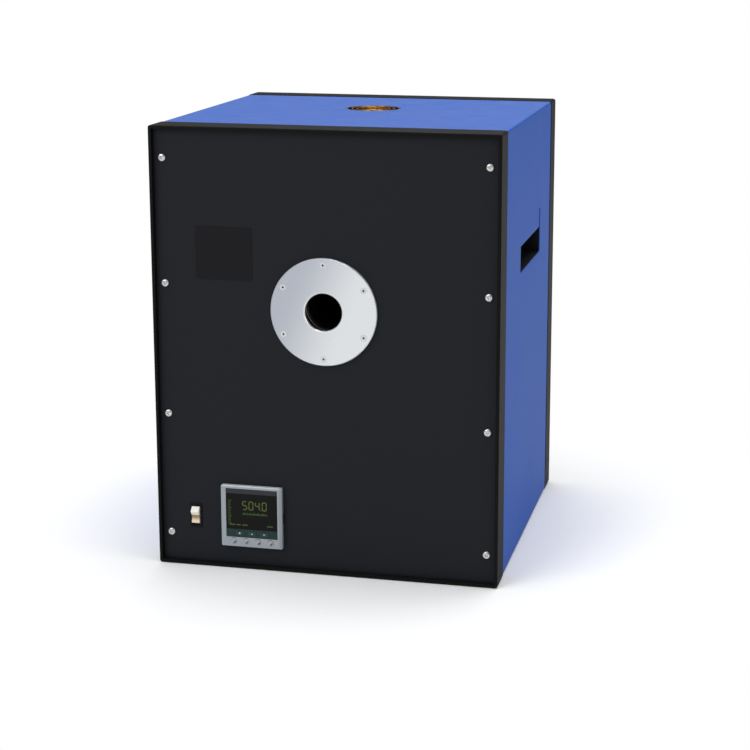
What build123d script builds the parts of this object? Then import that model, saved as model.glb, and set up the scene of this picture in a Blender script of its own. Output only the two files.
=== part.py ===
from build123d import *
import math
import os

# Blackbody calibration furnace: a tall bench cabinet with a recessed black front panel,
# an aluminium aperture plate over a closed-end cavity tube, and a fan under the roof vent.
# Millimetres. X runs to the right seen from the front, Y to the back, Z up.
# The origin is at the middle of the base, and the front frame faces -Y.

# Cabinet
CABINET_WIDTH = 524.0
CABINET_DEPTH = 532.0
CABINET_HEIGHT = 670.0

# End frames: black extruded rings at the front and the back
FRAME_WALL = 5.0
FRONT_FRAME_DEPTH = 50.0
REAR_FRAME_DEPTH = 47.0
FRAME_CORNER_RADIUS = 4.0
FRAME_EDGE_ROUND = 1.8
LANDING_WIDTH = 20.0
LANDING_THICKNESS = 4.0
TONGUE_LENGTH = 12.0
TONGUE_WALL = 2.5
TONGUE_ROOT = 4.0

# Front and rear panels
PANEL_RECESS = 8.5
PANEL_THICKNESS = 3.0
PANEL_CORNER_RADIUS = 2.0
PANEL_GAP = 0.3
PANEL_SCREW_EDGE_GAP = 13.0
PANEL_SCREW_END_GAP = 43.0
PANEL_SCREW_ROW_SHARE = 0.35
PANEL_SCREW_RADIUS = 3.0
PANEL_SCREW_HEAD_RADIUS = 6.0
PANEL_SCREW_HEAD_HEIGHT = 3.2
PANEL_SCREW_LENGTH = 11.0
SCREW_HEAD_ROUND_SHARE = 0.6
CROSS_WIDTH = 1.5
CROSS_LENGTH = 6.4
CROSS_DEPTH = 1.7

# How far a cutting tool reaches past what it cuts, how far fused pieces run into each other,
# and the clearances
OVERCUT = 1.0
FUSE_LAP = 0.5
THREAD_CLEARANCE = 0.05
SCREW_CLEARANCE = 0.4
SHEET_CLEARANCE = 0.3

# Blue wrap cover
COVER_THICKNESS = 1.5
COVER_INSET = 0.8
COVER_END_GAP = 0.5
COVER_BEND_RADIUS = 3.5
COVER_BOTTOM_Z = 1.2
COVER_FLANGE_WIDTH = 15.0
COVER_SCREW_EDGE_GAP = 8.7
COVER_SCREW_END_GAP = 51.0
COVER_SCREW_COUNT = 3
COVER_SCREW_RADIUS = 2.0
COVER_SCREW_HEAD_RADIUS = 3.9
COVER_SCREW_LENGTH = 7.0

# Base pan
PAN_THICKNESS = 2.0
PAN_FLANGE_HEIGHT = 26.0
PAN_EDGE_ROUND = 1.5

# Tie rails that join the two end frames
RAIL_SIZE = 18.0
RAIL_WALL = 2.0

# Hand-holds in the two sides of the cover
HANDHOLD_BEHIND_MIDDLE_DEPTH = 15.0
HANDHOLD_WIDTH = 196.0
HANDHOLD_BELOW_TOP_HEIGHT = 233.0
HANDHOLD_HEIGHT = 72.0
HANDHOLD_CORNER_RADIUS = 3.0
HANDHOLD_MOUTH_HEIGHT = 38.0
POCKET_DEPTH = 40.0
POCKET_WALL = 1.5
POCKET_FLANGE_WIDTH = 10.0
GRIP_SETBACK = 1.0
GRIP_THICKNESS = 2.0
GRIP_CURL_RADIUS = 4.5
GRIP_TAB_DEPTH = 14.0

# Aperture
APERTURE_RISE_HEIGHT = 67.5
APERTURE_PLATE_RADIUS = 80.0
APERTURE_PLATE_THICKNESS = 6.0
APERTURE_RADIUS = 28.0
APERTURE_EDGE_CHAMFER = 1.0
APERTURE_SCREW_CIRCLE_RADIUS = 70.0
APERTURE_SCREW_COUNT = 6
APERTURE_SCREW_RADIUS = 2.5
APERTURE_SCREW_HEAD_RADIUS = 4.7
APERTURE_SCREW_LENGTH = 14.0
SOCKET_FLATS = 3.0
SOCKET_DEPTH = 2.0
THROAT_RING_RADIUS = 59.0
THROAT_HOLE_CLEARANCE = 0.6
LINER_WALL = 1.5
LINER_CLEARANCE = 1.4
LINER_END_GAP = 0.3

# Cavity tube with a conical closed end
CAVITY_RADIUS = 36.5
CAVITY_WALL = 3.0
CAVITY_LIP_FROM_FRONT = 52.0
CAVITY_CONE_DEPTH = 21.0
CAVITY_END_WALL = 8.0
CAVITY_BORE_CLEARANCE = 0.3
CAVITY_SEAT_DEPTH = 12.0

# Heated chamber: insulation blocks in a sheet steel shell
HOT_ZONE_WIDTH = 220.0
HOT_ZONE_HEIGHT = 180.0
HOT_ZONE_DEPTH = 196.0
CHAMBER_SIDE_GAP = 72.0
CHAMBER_HEADROOM_HEIGHT = 85.2
CHAMBER_REAR_GAP = 109.5
SHELL_THICKNESS = 1.5
CHAMBER_FRONT_GAP = 45.0
SHELL_LIP_HEIGHT = 16.0
LEG_SIZE = 30.0
LEG_THICKNESS = 2.0
LEG_FOOT = 34.0
LEG_SETBACK = 10.0

# Hairpin heating elements, hung from the roof on both sides of the tube
ELEMENTS_PER_SIDE = 3
ELEMENT_X = 78.0
ELEMENT_PITCH = 62.0
ELEMENT_LEG_SPACING = 40.0
ELEMENT_HOT_RADIUS = 3.0
ELEMENT_TERMINAL_RADIUS = 6.0
ELEMENT_TAPER = 10.0
ELEMENT_SHOULDER = 0.5
ELEMENT_DROP = 148.0
ELEMENT_STAND = 42.0
ELEMENT_HOLE_CLEARANCE = 1.0
HOLDER_RADIUS = 10.0
HOLDER_HEIGHT = 12.0
CLAMP_SIZE = 18.0
CLAMP_HEIGHT = 10.0
CLAMP_SLIT = 1.6
STRAP_WIDTH = 14.0
STRAP_THICKNESS = 2.5
LEAD_SIDE_GAP = 14.5
LEAD_LOW_HEIGHT = 160.0

# Thermocouples through the back of the chamber
PROBE_RADIUS = 4.0
PROBE_HEAD_SIZE = 28.0
PROBE_HEAD_DEPTH = 22.0
PROBE_STANDOFF = 18.0
LIMIT_PROBE_SIDE_LENGTH = 95.0
LIMIT_PROBE_RISE_HEIGHT = 52.5

# Roof vent: fan under the cover, wire finger guard in the vent hole
FAN_BEHIND_MIDDLE_DEPTH = 50.0
FAN_SIZE = 92.0
FAN_THICKNESS = 25.0
FAN_CORNER_RADIUS = 5.0
FAN_BORE_RADIUS = 43.5
FAN_SCREW_SPACING = 82.5
FAN_SCREW_RADIUS = 2.0
FAN_SCREW_HEAD_RADIUS = 3.4
FAN_MOTOR_RADIUS = 17.0
FAN_MOTOR_HEIGHT = 4.0
FAN_STRUT_WIDTH = 4.0
FAN_STRUT_COUNT = 4
ROTOR_HUB_RADIUS = 19.0
ROTOR_HUB_ROUND = 2.0
ROTOR_RADIUS = 42.3
ROTOR_HEIGHT = 16.0
ROTOR_RUNNING_GAP = 0.8
ROTOR_SHAFT_RADIUS = 1.5
ROTOR_SHAFT_CLEARANCE = 0.05
BLADE_COUNT = 7
BLADE_THICKNESS = 1.6
BLADE_ROOT_CHORD = 20.0
BLADE_TIP_CHORD = 27.0
BLADE_ROOT_PITCH = 48.0
BLADE_TIP_PITCH = 27.0
BLADE_SKEW = 16.0
BLADE_CAMBER_SHARE = 0.1
BLADE_SECTION_COUNT = 3
VENT_RADIUS = 43.5
GUARD_WIRE_RADIUS = 1.0
GUARD_RING_COUNT = 5
GUARD_OUTER_RING_RADIUS = 42.0
GUARD_RING_STEP = 8.0
GUARD_RIB_REACH = 48.0
GUARD_RIB_TURNS = (45.0, 135.0)
GUARD_GROOVE_CLEARANCE = 0.1
GUARD_WIRE_LAP = 0.3

# Panel controller, 96 by 96 mm front
CONTROLLER_EDGE_LENGTH = 148.0
CONTROLLER_RISE_HEIGHT = 82.0
CONTROLLER_SIZE = 96.0
CONTROLLER_PROUD = 7.5
CONTROLLER_CORNER_RADIUS = 2.5
CONTROLLER_EDGE_ROUND = 1.2
CONTROLLER_CASE_SIZE = 91.0
CONTROLLER_CASE_LENGTH = 148.0
CONTROLLER_CASE_WALL = 2.0
CONTROLLER_CUTOUT_CLEARANCE = 0.6
GASKET_THICKNESS = 0.8
LENS_WIDTH = 80.6
LENS_RISE_HEIGHT = 43.5
LENS_DROP_HEIGHT = 20.0
KEY_STRIP_DROP_HEIGHT = 33.0
LENS_THICKNESS = 1.5
LENS_RECESS = 1.8
LENS_CLEARANCE = 0.2
KEY_PITCH = 19.2
ROUND_KEY_DROP_HEIGHT = 39.0
ROUND_KEY_RADIUS = 4.6
ROUND_KEY_PROUD = 0.8
ROUND_KEY_LENGTH = 5.4
ROUND_KEY_DISH = 7.5
ROUND_KEY_DISH_SHARE = 0.8
KEY_CLEARANCE = 0.35
KEY_POCKET_DEPTH = 6.3
STRIP_KEY_DROP_HEIGHT = 26.5
STRIP_KEY_WIDTH = 13.0
STRIP_KEY_HEIGHT = 7.4
STRIP_KEY_CORNER = 1.5
STRIP_KEY_PROUD = 0.5
STRIP_KEY_LENGTH = 4.9
LATCH_HEIGHT = 12.0
LATCH_DEPTH = 4.5
LATCH_WIDTH = 2.6
LATCH_PROUD = 1.4
CLIP_WIDTH = 22.0
CLIP_LENGTH = 46.0
CLIP_HEIGHT = 5.0

# Rocker switch
SWITCH_EDGE_LENGTH = 58.0
SWITCH_RISE_HEIGHT = 76.5
SWITCH_RIM_WIDTH = 19.0
SWITCH_RIM_HEIGHT = 38.0
SWITCH_RIM_THICKNESS = 1.0
SWITCH_BODY_WIDTH = 15.0
SWITCH_BODY_HEIGHT = 33.0
SWITCH_BODY_DEPTH = 24.0
SWITCH_WELL_DEPTH = 9.0
ROCKER_WIDTH = 12.0
ROCKER_SIDE_CLEARANCE = 0.3
ROCKER_HALF_HEIGHT = 14.2
ROCKER_END_CLEARANCE = 0.8
ROCKER_CREST_PROUD = 7.0
ROCKER_CREST_SHARE = 0.67
ROCKER_MIDDLE_PROUD = 3.0
ROCKER_BACK = 2.0
ROCKER_TILT = 14.0
ROCKER_PIN_RADIUS = 1.5
ROCKER_PIN_CLEARANCE = 0.06

# Blank plate on the front panel
PLATE_X_SHARE = 0.29
PLATE_BELOW_TOP_HEIGHT = 187.0
PLATE_WIDTH = 87.0
PLATE_HEIGHT = 79.0
PLATE_THICKNESS = 0.5

# Power parts in the base
TRANSFORMER_SIDE_LENGTH = 100.0
TRANSFORMER_BACK_LENGTH = 232.0
CORE_WIDTH = 150.0
CORE_HEIGHT = 125.0
CORE_STACK = 60.0
CORE_LIMB = 50.0
COIL_BUILD = 20.0
COIL_CLEARANCE = 0.5
COIL_CORNER_RADIUS = 16.0
CORE_BRACKET_WIDTH = 20.0
CORE_BRACKET_THICKNESS = 3.0
HEATSINK_SIDE_LENGTH = 95.0
HEATSINK_BACK_LENGTH = 202.0
HEATSINK_WIDTH = 110.0
HEATSINK_HEIGHT = 120.0
HEATSINK_BASE = 8.0
FIN_COUNT = 10
FIN_LENGTH = 32.0
FIN_THICKNESS = 2.0
MODULE_WIDTH = 64.0
MODULE_HEIGHT = 92.0
MODULE_DEPTH = 34.0
TERMINAL_SIDE_LENGTH = 100.0
TERMINAL_BACK_LENGTH = 112.0
TERMINAL_COUNT = 6
TERMINAL_PITCH = 12.0
TERMINAL_DEPTH = 22.0
TERMINAL_HEIGHT = 28.0
TERMINAL_MOUTH_WIDTH = 9.0
TERMINAL_MOUTH_DEPTH = 8.0
TERMINAL_MOUTH_HEIGHT = 14.0

# Rear panel fittings
REAR_VENT_ROWS = 12
REAR_VENT_PITCH = 14.0
REAR_VENT_WIDTH = 90.0
REAR_VENT_SLOT = 5.0
REAR_VENT_END_SHARE = 0.49
REAR_VENT_SIDE_LENGTH = 80.0
REAR_VENT_DROP_HEIGHT = 102.5
INLET_EDGE_LENGTH = 97.0
INLET_RISE_HEIGHT = 85.0
INLET_FLANGE_WIDTH = 58.0
INLET_FLANGE_HEIGHT = 34.0
INLET_FLANGE_THICKNESS = 3.0
INLET_BODY_WIDTH = 36.0
INLET_BODY_HEIGHT = 28.0
INLET_BODY_DEPTH = 26.0
INLET_POCKET_WIDTH = 28.6
INLET_POCKET_HEIGHT = 20.6
INLET_POCKET_DEPTH = 19.0
INLET_SCREW_SPACING = 48.0
INLET_SCREW_RADIUS = 2.0
INLET_SCREW_HEAD_RADIUS = 3.9
INLET_SCREW_HEAD_HEIGHT = 2.4
INLET_SCREW_LENGTH = 7.8
INLET_PIN_SPACING = 13.0
INLET_PIN_WIDTH = 2.0
INLET_PIN_HEIGHT = 8.0
INLET_PIN_LENGTH = 15.0
INLET_PIN_DROP = 3.0
INLET_EARTH_RISE = 3.5
INLET_EARTH_HEIGHT = 6.0
PORT_GAP_LENGTH = 105.0
PORT_HOLE_CLEARANCE = 1.3
PORT_FLANGE_WIDTH = 31.0
PORT_FLANGE_HEIGHT = 12.5
PORT_SHELL_WIDTH = 17.0
PORT_SHELL_HEIGHT = 8.4
PORT_SHELL_SLOPE = 10.0
PORT_SHELL_ROUND = 2.0
PORT_PROUD = 5.5
PORT_BODY_DEPTH = 9.0
PORT_FLANGE_THICKNESS = 1.0
PORT_SCREW_SPACING = 25.0
PORT_SCREW_RADIUS = 2.4

# Places worked out from the sizes above
FRONT_Y = -CABINET_DEPTH / 2
BACK_Y = CABINET_DEPTH / 2
MIDDLE_Z = CABINET_HEIGHT / 2
APERTURE_Z = MIDDLE_Z + APERTURE_RISE_HEIGHT
PANEL_SCREW_X = CABINET_WIDTH / 2 - FRAME_WALL - PANEL_SCREW_EDGE_GAP
PANEL_SCREW_OUTER = CABINET_HEIGHT / 2 - FRAME_WALL - PANEL_SCREW_END_GAP
PANEL_SCREW_INNER = PANEL_SCREW_OUTER * PANEL_SCREW_ROW_SHARE
PANEL_FRONT_Y = FRONT_Y + PANEL_RECESS
PANEL_BACK_Y = PANEL_FRONT_Y + PANEL_THICKNESS
REAR_PANEL_OUT_Y = BACK_Y - PANEL_RECESS
REAR_PANEL_IN_Y = REAR_PANEL_OUT_Y - PANEL_THICKNESS
LANDING_END = PANEL_RECESS + PANEL_THICKNESS + LANDING_THICKNESS
COVER_HALF = CABINET_WIDTH / 2 - COVER_INSET
COVER_INNER_HALF = COVER_HALF - COVER_THICKNESS
COVER_SCREW_X = COVER_INNER_HALF - COVER_SCREW_EDGE_GAP
COVER_TOP_Z = CABINET_HEIGHT - COVER_INSET
COVER_UNDER_Z = COVER_TOP_Z - COVER_THICKNESS
COVER_FRONT_Y = FRONT_Y + FRONT_FRAME_DEPTH + COVER_END_GAP
COVER_BACK_Y = BACK_Y - REAR_FRAME_DEPTH - COVER_END_GAP
TONGUE_INSET = COVER_INSET + COVER_THICKNESS + SHEET_CLEARANCE
PAN_BOTTOM_Z = COVER_BOTTOM_Z + COVER_THICKNESS + SHEET_CLEARANCE
PAN_TOP_Z = PAN_BOTTOM_Z + PAN_THICKNESS
RAIL_OUTER_X = CABINET_WIDTH / 2 - TONGUE_INSET - TONGUE_WALL - COVER_END_GAP
RAIL_TOP_Z = CABINET_HEIGHT - TONGUE_INSET - TONGUE_WALL - COVER_END_GAP
APERTURE_PLATE_FRONT_Y = PANEL_FRONT_Y - APERTURE_PLATE_THICKNESS
LIP_Y = FRONT_Y + CAVITY_LIP_FROM_FRONT
CAVITY_OUTER_RADIUS = CAVITY_RADIUS + CAVITY_WALL
TUBE_BORE_RADIUS = CAVITY_OUTER_RADIUS + CAVITY_BORE_CLEARANCE
LINER_RADIUS = CAVITY_OUTER_RADIUS + LINER_CLEARANCE
SHELL_FRONT_Y = FRONT_Y + CHAMBER_FRONT_GAP
BLOCK_FRONT_Y = SHELL_FRONT_Y + SHELL_THICKNESS
BLOCK_BACK_Y = BACK_Y - CHAMBER_REAR_GAP
END_INSULATION = (BLOCK_BACK_Y - BLOCK_FRONT_Y - HOT_ZONE_DEPTH) / 2
HOT_FRONT_Y = BLOCK_FRONT_Y + END_INSULATION
HOT_BACK_Y = BLOCK_BACK_Y - END_INSULATION
SHELL_BACK_Y = BLOCK_BACK_Y + SHELL_THICKNESS
HOT_HALF = HOT_ZONE_WIDTH / 2
BLOCK_HALF = CABINET_WIDTH / 2 - CHAMBER_SIDE_GAP
SHELL_HALF = BLOCK_HALF + SHELL_THICKNESS
HOT_LOW_Z = APERTURE_Z - HOT_ZONE_HEIGHT / 2
HOT_HIGH_Z = APERTURE_Z + HOT_ZONE_HEIGHT / 2
BLOCK_HIGH_Z = COVER_UNDER_Z - CHAMBER_HEADROOM_HEIGHT
BLOCK_LOW_Z = HOT_LOW_Z - (BLOCK_HIGH_Z - HOT_HIGH_Z)
SHELL_LOW_Z = BLOCK_LOW_Z - SHELL_THICKNESS
SHELL_HIGH_Z = BLOCK_HIGH_Z + SHELL_THICKNESS
CAVITY_END_Y = HOT_BACK_Y + CAVITY_SEAT_DEPTH
HOLDER_TOP_Z = BLOCK_HIGH_Z + HOLDER_HEIGHT
CLAMP_TOP_Z = HOLDER_TOP_Z + CLAMP_HEIGHT
STRAP_TOP_Z = CLAMP_TOP_Z + STRAP_THICKNESS
FAN_Y = FAN_BEHIND_MIDDLE_DEPTH
FAN_LOW_Z = COVER_UNDER_Z - FAN_THICKNESS
GUARD_RIB_Z = COVER_UNDER_Z - GUARD_WIRE_RADIUS - GUARD_GROOVE_CLEARANCE / 2
GUARD_RING_Z = GUARD_RIB_Z + 2 * GUARD_WIRE_RADIUS - GUARD_WIRE_LAP
LEAD_X = SHELL_HALF + LEAD_SIDE_GAP
LEAD_LOW_Z = LEAD_LOW_HEIGHT
LIMIT_PROBE_X = LIMIT_PROBE_SIDE_LENGTH
LIMIT_PROBE_Z = APERTURE_Z + LIMIT_PROBE_RISE_HEIGHT
CONTROLLER_X = CONTROLLER_EDGE_LENGTH - CABINET_WIDTH / 2
CONTROLLER_Z = CONTROLLER_RISE_HEIGHT
SWITCH_X = SWITCH_EDGE_LENGTH - CABINET_WIDTH / 2
SWITCH_Z = SWITCH_RISE_HEIGHT
PLATE_X = -CABINET_WIDTH * PLATE_X_SHARE
PLATE_Z = CABINET_HEIGHT - PLATE_BELOW_TOP_HEIGHT
TRANSFORMER_X = TRANSFORMER_SIDE_LENGTH
TRANSFORMER_Y = BACK_Y - TRANSFORMER_BACK_LENGTH
HEATSINK_X = -HEATSINK_SIDE_LENGTH
HEATSINK_Y = BACK_Y - HEATSINK_BACK_LENGTH
TERMINAL_X = -TERMINAL_SIDE_LENGTH
TERMINAL_Y = BACK_Y - TERMINAL_BACK_LENGTH
REAR_VENT_X = REAR_VENT_SIDE_LENGTH
REAR_VENT_LOW_Z = APERTURE_Z - REAR_VENT_DROP_HEIGHT
INLET_X = CABINET_WIDTH / 2 - INLET_EDGE_LENGTH
INLET_Z = INLET_RISE_HEIGHT
PORT_X = INLET_X - PORT_GAP_LENGTH
PORT_Z = INLET_Z
BEZEL_FRONT_Y = PANEL_FRONT_Y - CONTROLLER_PROUD
BEZEL_BACK_Y = PANEL_FRONT_Y - GASKET_THICKNESS
ROCKER_WELL_HALF_WIDTH = ROCKER_WIDTH / 2 + ROCKER_SIDE_CLEARANCE
ROCKER_WELL_HALF_HEIGHT = ROCKER_HALF_HEIGHT + ROCKER_END_CLEARANCE
HANDHOLD_Y = HANDHOLD_BEHIND_MIDDLE_DEPTH
HANDHOLD_LOW_Z = CABINET_HEIGHT - HANDHOLD_BELOW_TOP_HEIGHT
HANDHOLD_HIGH_Z = HANDHOLD_LOW_Z + HANDHOLD_HEIGHT
GRIP_LOW_Z = HANDHOLD_LOW_Z + HANDHOLD_MOUTH_HEIGHT


def slab(x, y, z):
    """Box between two limits on each axis."""
    size = [limits[1] - limits[0] for limits in (x, y, z)]
    middle = [(limits[0] + limits[1]) / 2 for limits in (x, y, z)]
    return Pos(*middle) * Box(*size)


def plate_y(width, height, y, x=0.0, z=0.0, radius=0.0):
    """Plate square to Y between two Y limits, with rounded corners if a radius is given."""
    outline = RectangleRounded(width, height, radius) if radius else Rectangle(width, height)
    return Pos(x, y[1], z) * Rot(90, 0, 0) * extrude(outline, amount=y[1] - y[0])


def rod_y(radius, y, x=0.0, z=0.0):
    """Round bar along Y."""
    return Pos(x, (y[0] + y[1]) / 2, z) * Rot(90, 0, 0) * Cylinder(radius, y[1] - y[0])


def rod_z(radius, z, x=0.0, y=0.0):
    """Round bar along Z."""
    return Pos(x, y, (z[0] + z[1]) / 2) * Cylinder(radius, z[1] - z[0])


def solid_sum(pieces):
    """Fuse a list of overlapping solids into one."""
    total = pieces[0]
    for piece in pieces[1:]:
        total = total + piece
    return total


def cut_all(body, tools):
    """Take each tool in a list away from a body."""
    for tool in tools:
        body = body - tool
    return body


def mirrored_x(shape):
    """The same shape on the other side of the cabinet."""
    return mirror(shape, about=Plane.YZ)


def handhold_window(clearance):
    """Bar along X with the hand-hold's outline, smaller all round by a clearance."""
    outline = RectangleRounded(HANDHOLD_WIDTH - 2 * clearance, HANDHOLD_HEIGHT - 2 * clearance,
                               HANDHOLD_CORNER_RADIUS)
    along_x = Plane(origin=(-CABINET_WIDTH / 2, HANDHOLD_Y, HANDHOLD_LOW_Z + HANDHOLD_HEIGHT / 2),
                    x_dir=(0, 1, 0), z_dir=(1, 0, 0))
    return along_x * extrude(outline, amount=CABINET_WIDTH)


def panel_screw_places():
    """Centres of the panel screws, as (x, z)."""
    heights = [MIDDLE_Z + offset for offset in (-PANEL_SCREW_OUTER, -PANEL_SCREW_INNER,
                                                PANEL_SCREW_INNER, PANEL_SCREW_OUTER)]
    return [(x, z) for x in (-PANEL_SCREW_X, PANEL_SCREW_X) for z in heights]


def aperture_screw_places():
    """Centres of the aperture plate screws, as (x, z), with one at the top."""
    angles = [math.radians(90 + 360 * n / APERTURE_SCREW_COUNT) for n in range(APERTURE_SCREW_COUNT)]
    radius = APERTURE_SCREW_CIRCLE_RADIUS
    return [(radius * math.cos(a), APERTURE_Z + radius * math.sin(a)) for a in angles]


def fan_corner_places():
    """Centres of the four fan screws, as (x, y)."""
    half = FAN_SCREW_SPACING / 2
    return [(x, FAN_Y + y) for x in (-half, half) for y in (-half, half)]


def element_places():
    """Centre of each hairpin, as (x, y)."""
    first = (HOT_FRONT_Y + HOT_BACK_Y) / 2 - ELEMENT_PITCH * (ELEMENTS_PER_SIDE - 1) / 2
    rows = [first + ELEMENT_PITCH * n for n in range(ELEMENTS_PER_SIDE)]
    return [(x, y) for x in (-ELEMENT_X, ELEMENT_X) for y in rows]


def element_leg_places():
    """Centre of each hairpin leg, as (x, y)."""
    half = ELEMENT_LEG_SPACING / 2
    return [(x, y + side) for x, y in element_places() for side in (-half, half)]


def cover_screw_places():
    """Centres of the screws under the cover's bottom flanges, as (x, y)."""
    first = COVER_FRONT_Y + COVER_SCREW_END_GAP
    pitch = (COVER_BACK_Y - COVER_FRONT_Y - 2 * COVER_SCREW_END_GAP) / (COVER_SCREW_COUNT - 1)
    rows = [first + pitch * n for n in range(COVER_SCREW_COUNT)]
    return [(x, y) for x in (-COVER_SCREW_X, COVER_SCREW_X) for y in rows]


def pan_head_screw(radius, length, head_radius, head_height):
    """Pan head screw along +Y with the underside of its head at y = 0."""
    head = rod_y(head_radius, (-head_height, 0))
    head = fillet(head.edges().sort_by(Axis.Y)[0], head_height * SCREW_HEAD_ROUND_SHARE)
    reach = CROSS_LENGTH / 2 * head_radius / PANEL_SCREW_HEAD_RADIUS
    depth = (-head_height - OVERCUT, -head_height + CROSS_DEPTH)
    arms = [slab((-reach, reach), depth, (-CROSS_WIDTH / 2, CROSS_WIDTH / 2)),
            slab((-CROSS_WIDTH / 2, CROSS_WIDTH / 2), depth, (-reach, reach))]
    return cut_all(head + rod_y(radius, (-FUSE_LAP, length)), arms)


def countersunk_screw(radius, length, head_radius):
    """Countersunk screw along +Y with its flat head at y = 0 and a hexagon socket."""
    depth = head_radius - radius
    head = Pos(0, depth / 2, 0) * Rot(90, 0, 0) * Cone(radius, head_radius, depth)
    body = head + rod_y(radius, (depth - FUSE_LAP, length))
    hexagon = extrude(RegularPolygon(SOCKET_FLATS / math.sqrt(3), 6), amount=SOCKET_DEPTH + OVERCUT)
    return body - Pos(0, SOCKET_DEPTH, 0) * Rot(90, 0, 0) * hexagon


def countersink(radius, head_radius, length):
    """Hole along +Y for a countersunk screw, with the wide end at y = 0."""
    wide = head_radius + SCREW_CLEARANCE / 2
    narrow = radius + SCREW_CLEARANCE / 2
    cone = Pos(0, (wide - narrow) / 2, 0) * Rot(90, 0, 0) * Cone(narrow, wide, wide - narrow)
    return cone + rod_y(narrow, (0, length))


def end_frame(depth):
    """Black end frame with its face at y = 0, a landing for the panel and a tongue for the cover."""
    frame = plate_y(CABINET_WIDTH, CABINET_HEIGHT, (0, depth), z=MIDDLE_Z, radius=FRAME_CORNER_RADIUS)
    frame = fillet(frame.faces().sort_by(Axis.Y)[0].edges(), FRAME_EDGE_ROUND)
    inner_width = CABINET_WIDTH - 2 * FRAME_WALL
    inner_height = CABINET_HEIGHT - 2 * FRAME_WALL
    frame = frame - plate_y(inner_width, inner_height, (-1, depth + OVERCUT), z=MIDDLE_Z)
    landing_start = PANEL_RECESS + PANEL_THICKNESS
    landing = plate_y(inner_width + FUSE_LAP, inner_height + FUSE_LAP, (landing_start, LANDING_END),
                      z=MIDDLE_Z)
    window = plate_y(inner_width - 2 * LANDING_WIDTH, inner_height - 2 * LANDING_WIDTH,
                     (landing_start - OVERCUT, LANDING_END + OVERCUT), z=MIDDLE_Z)
    tongue_y = (depth - TONGUE_ROOT, depth + TONGUE_LENGTH)
    tongue_width = CABINET_WIDTH - 2 * TONGUE_INSET
    tongue_height = CABINET_HEIGHT - 2 * TONGUE_INSET
    tongue = plate_y(tongue_width, tongue_height, tongue_y, z=MIDDLE_Z, radius=COVER_BEND_RADIUS)
    core = plate_y(tongue_width - 2 * TONGUE_WALL, tongue_height - 2 * TONGUE_WALL,
                   (tongue_y[0] - OVERCUT, tongue_y[1] + OVERCUT), z=MIDDLE_Z,
                   radius=COVER_BEND_RADIUS - TONGUE_WALL)
    foot_room = slab((-CABINET_WIDTH, CABINET_WIDTH), (tongue_y[0] - OVERCUT, tongue_y[1] + OVERCUT),
                     (-1, PAN_TOP_Z + PAN_FLANGE_HEIGHT))
    frame = frame + (landing - window) + (tongue - core - foot_room)
    through = (landing_start - OVERCUT, LANDING_END + OVERCUT)
    holes = [rod_y(PANEL_SCREW_RADIUS + THREAD_CLEARANCE, through, x, z) for x, z in panel_screw_places()]
    return cut_all(frame, holes)


def front_frame():
    return Pos(0, FRONT_Y, 0) * end_frame(FRONT_FRAME_DEPTH)


def rear_frame():
    return Pos(0, BACK_Y, 0) * mirror(end_frame(REAR_FRAME_DEPTH), about=Plane.XZ)


def tie_rails():
    """Four square tubes that hold the end frames apart; the lower two take the cover screws."""
    rail_floor = (PAN_TOP_Z - OVERCUT, PAN_TOP_Z + RAIL_WALL + OVERCUT)
    threads = [rod_z(COVER_SCREW_RADIUS + THREAD_CLEARANCE, rail_floor, x, y)
               for x, y in cover_screw_places()]
    y = (FRONT_Y + LANDING_END, BACK_Y - LANDING_END)
    rails = []
    for x in (RAIL_SIZE / 2 - RAIL_OUTER_X, RAIL_OUTER_X - RAIL_SIZE / 2):
        for z in (PAN_TOP_Z + RAIL_SIZE / 2, RAIL_TOP_Z - RAIL_SIZE / 2):
            tube = plate_y(RAIL_SIZE, RAIL_SIZE, y, x, z, radius=RAIL_WALL)
            bore = RAIL_SIZE - 2 * RAIL_WALL
            tube = tube - plate_y(bore, bore, (y[0] - OVERCUT, y[1] + OVERCUT), x, z)
            rails.append(cut_all(tube, threads))
    return rails


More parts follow.
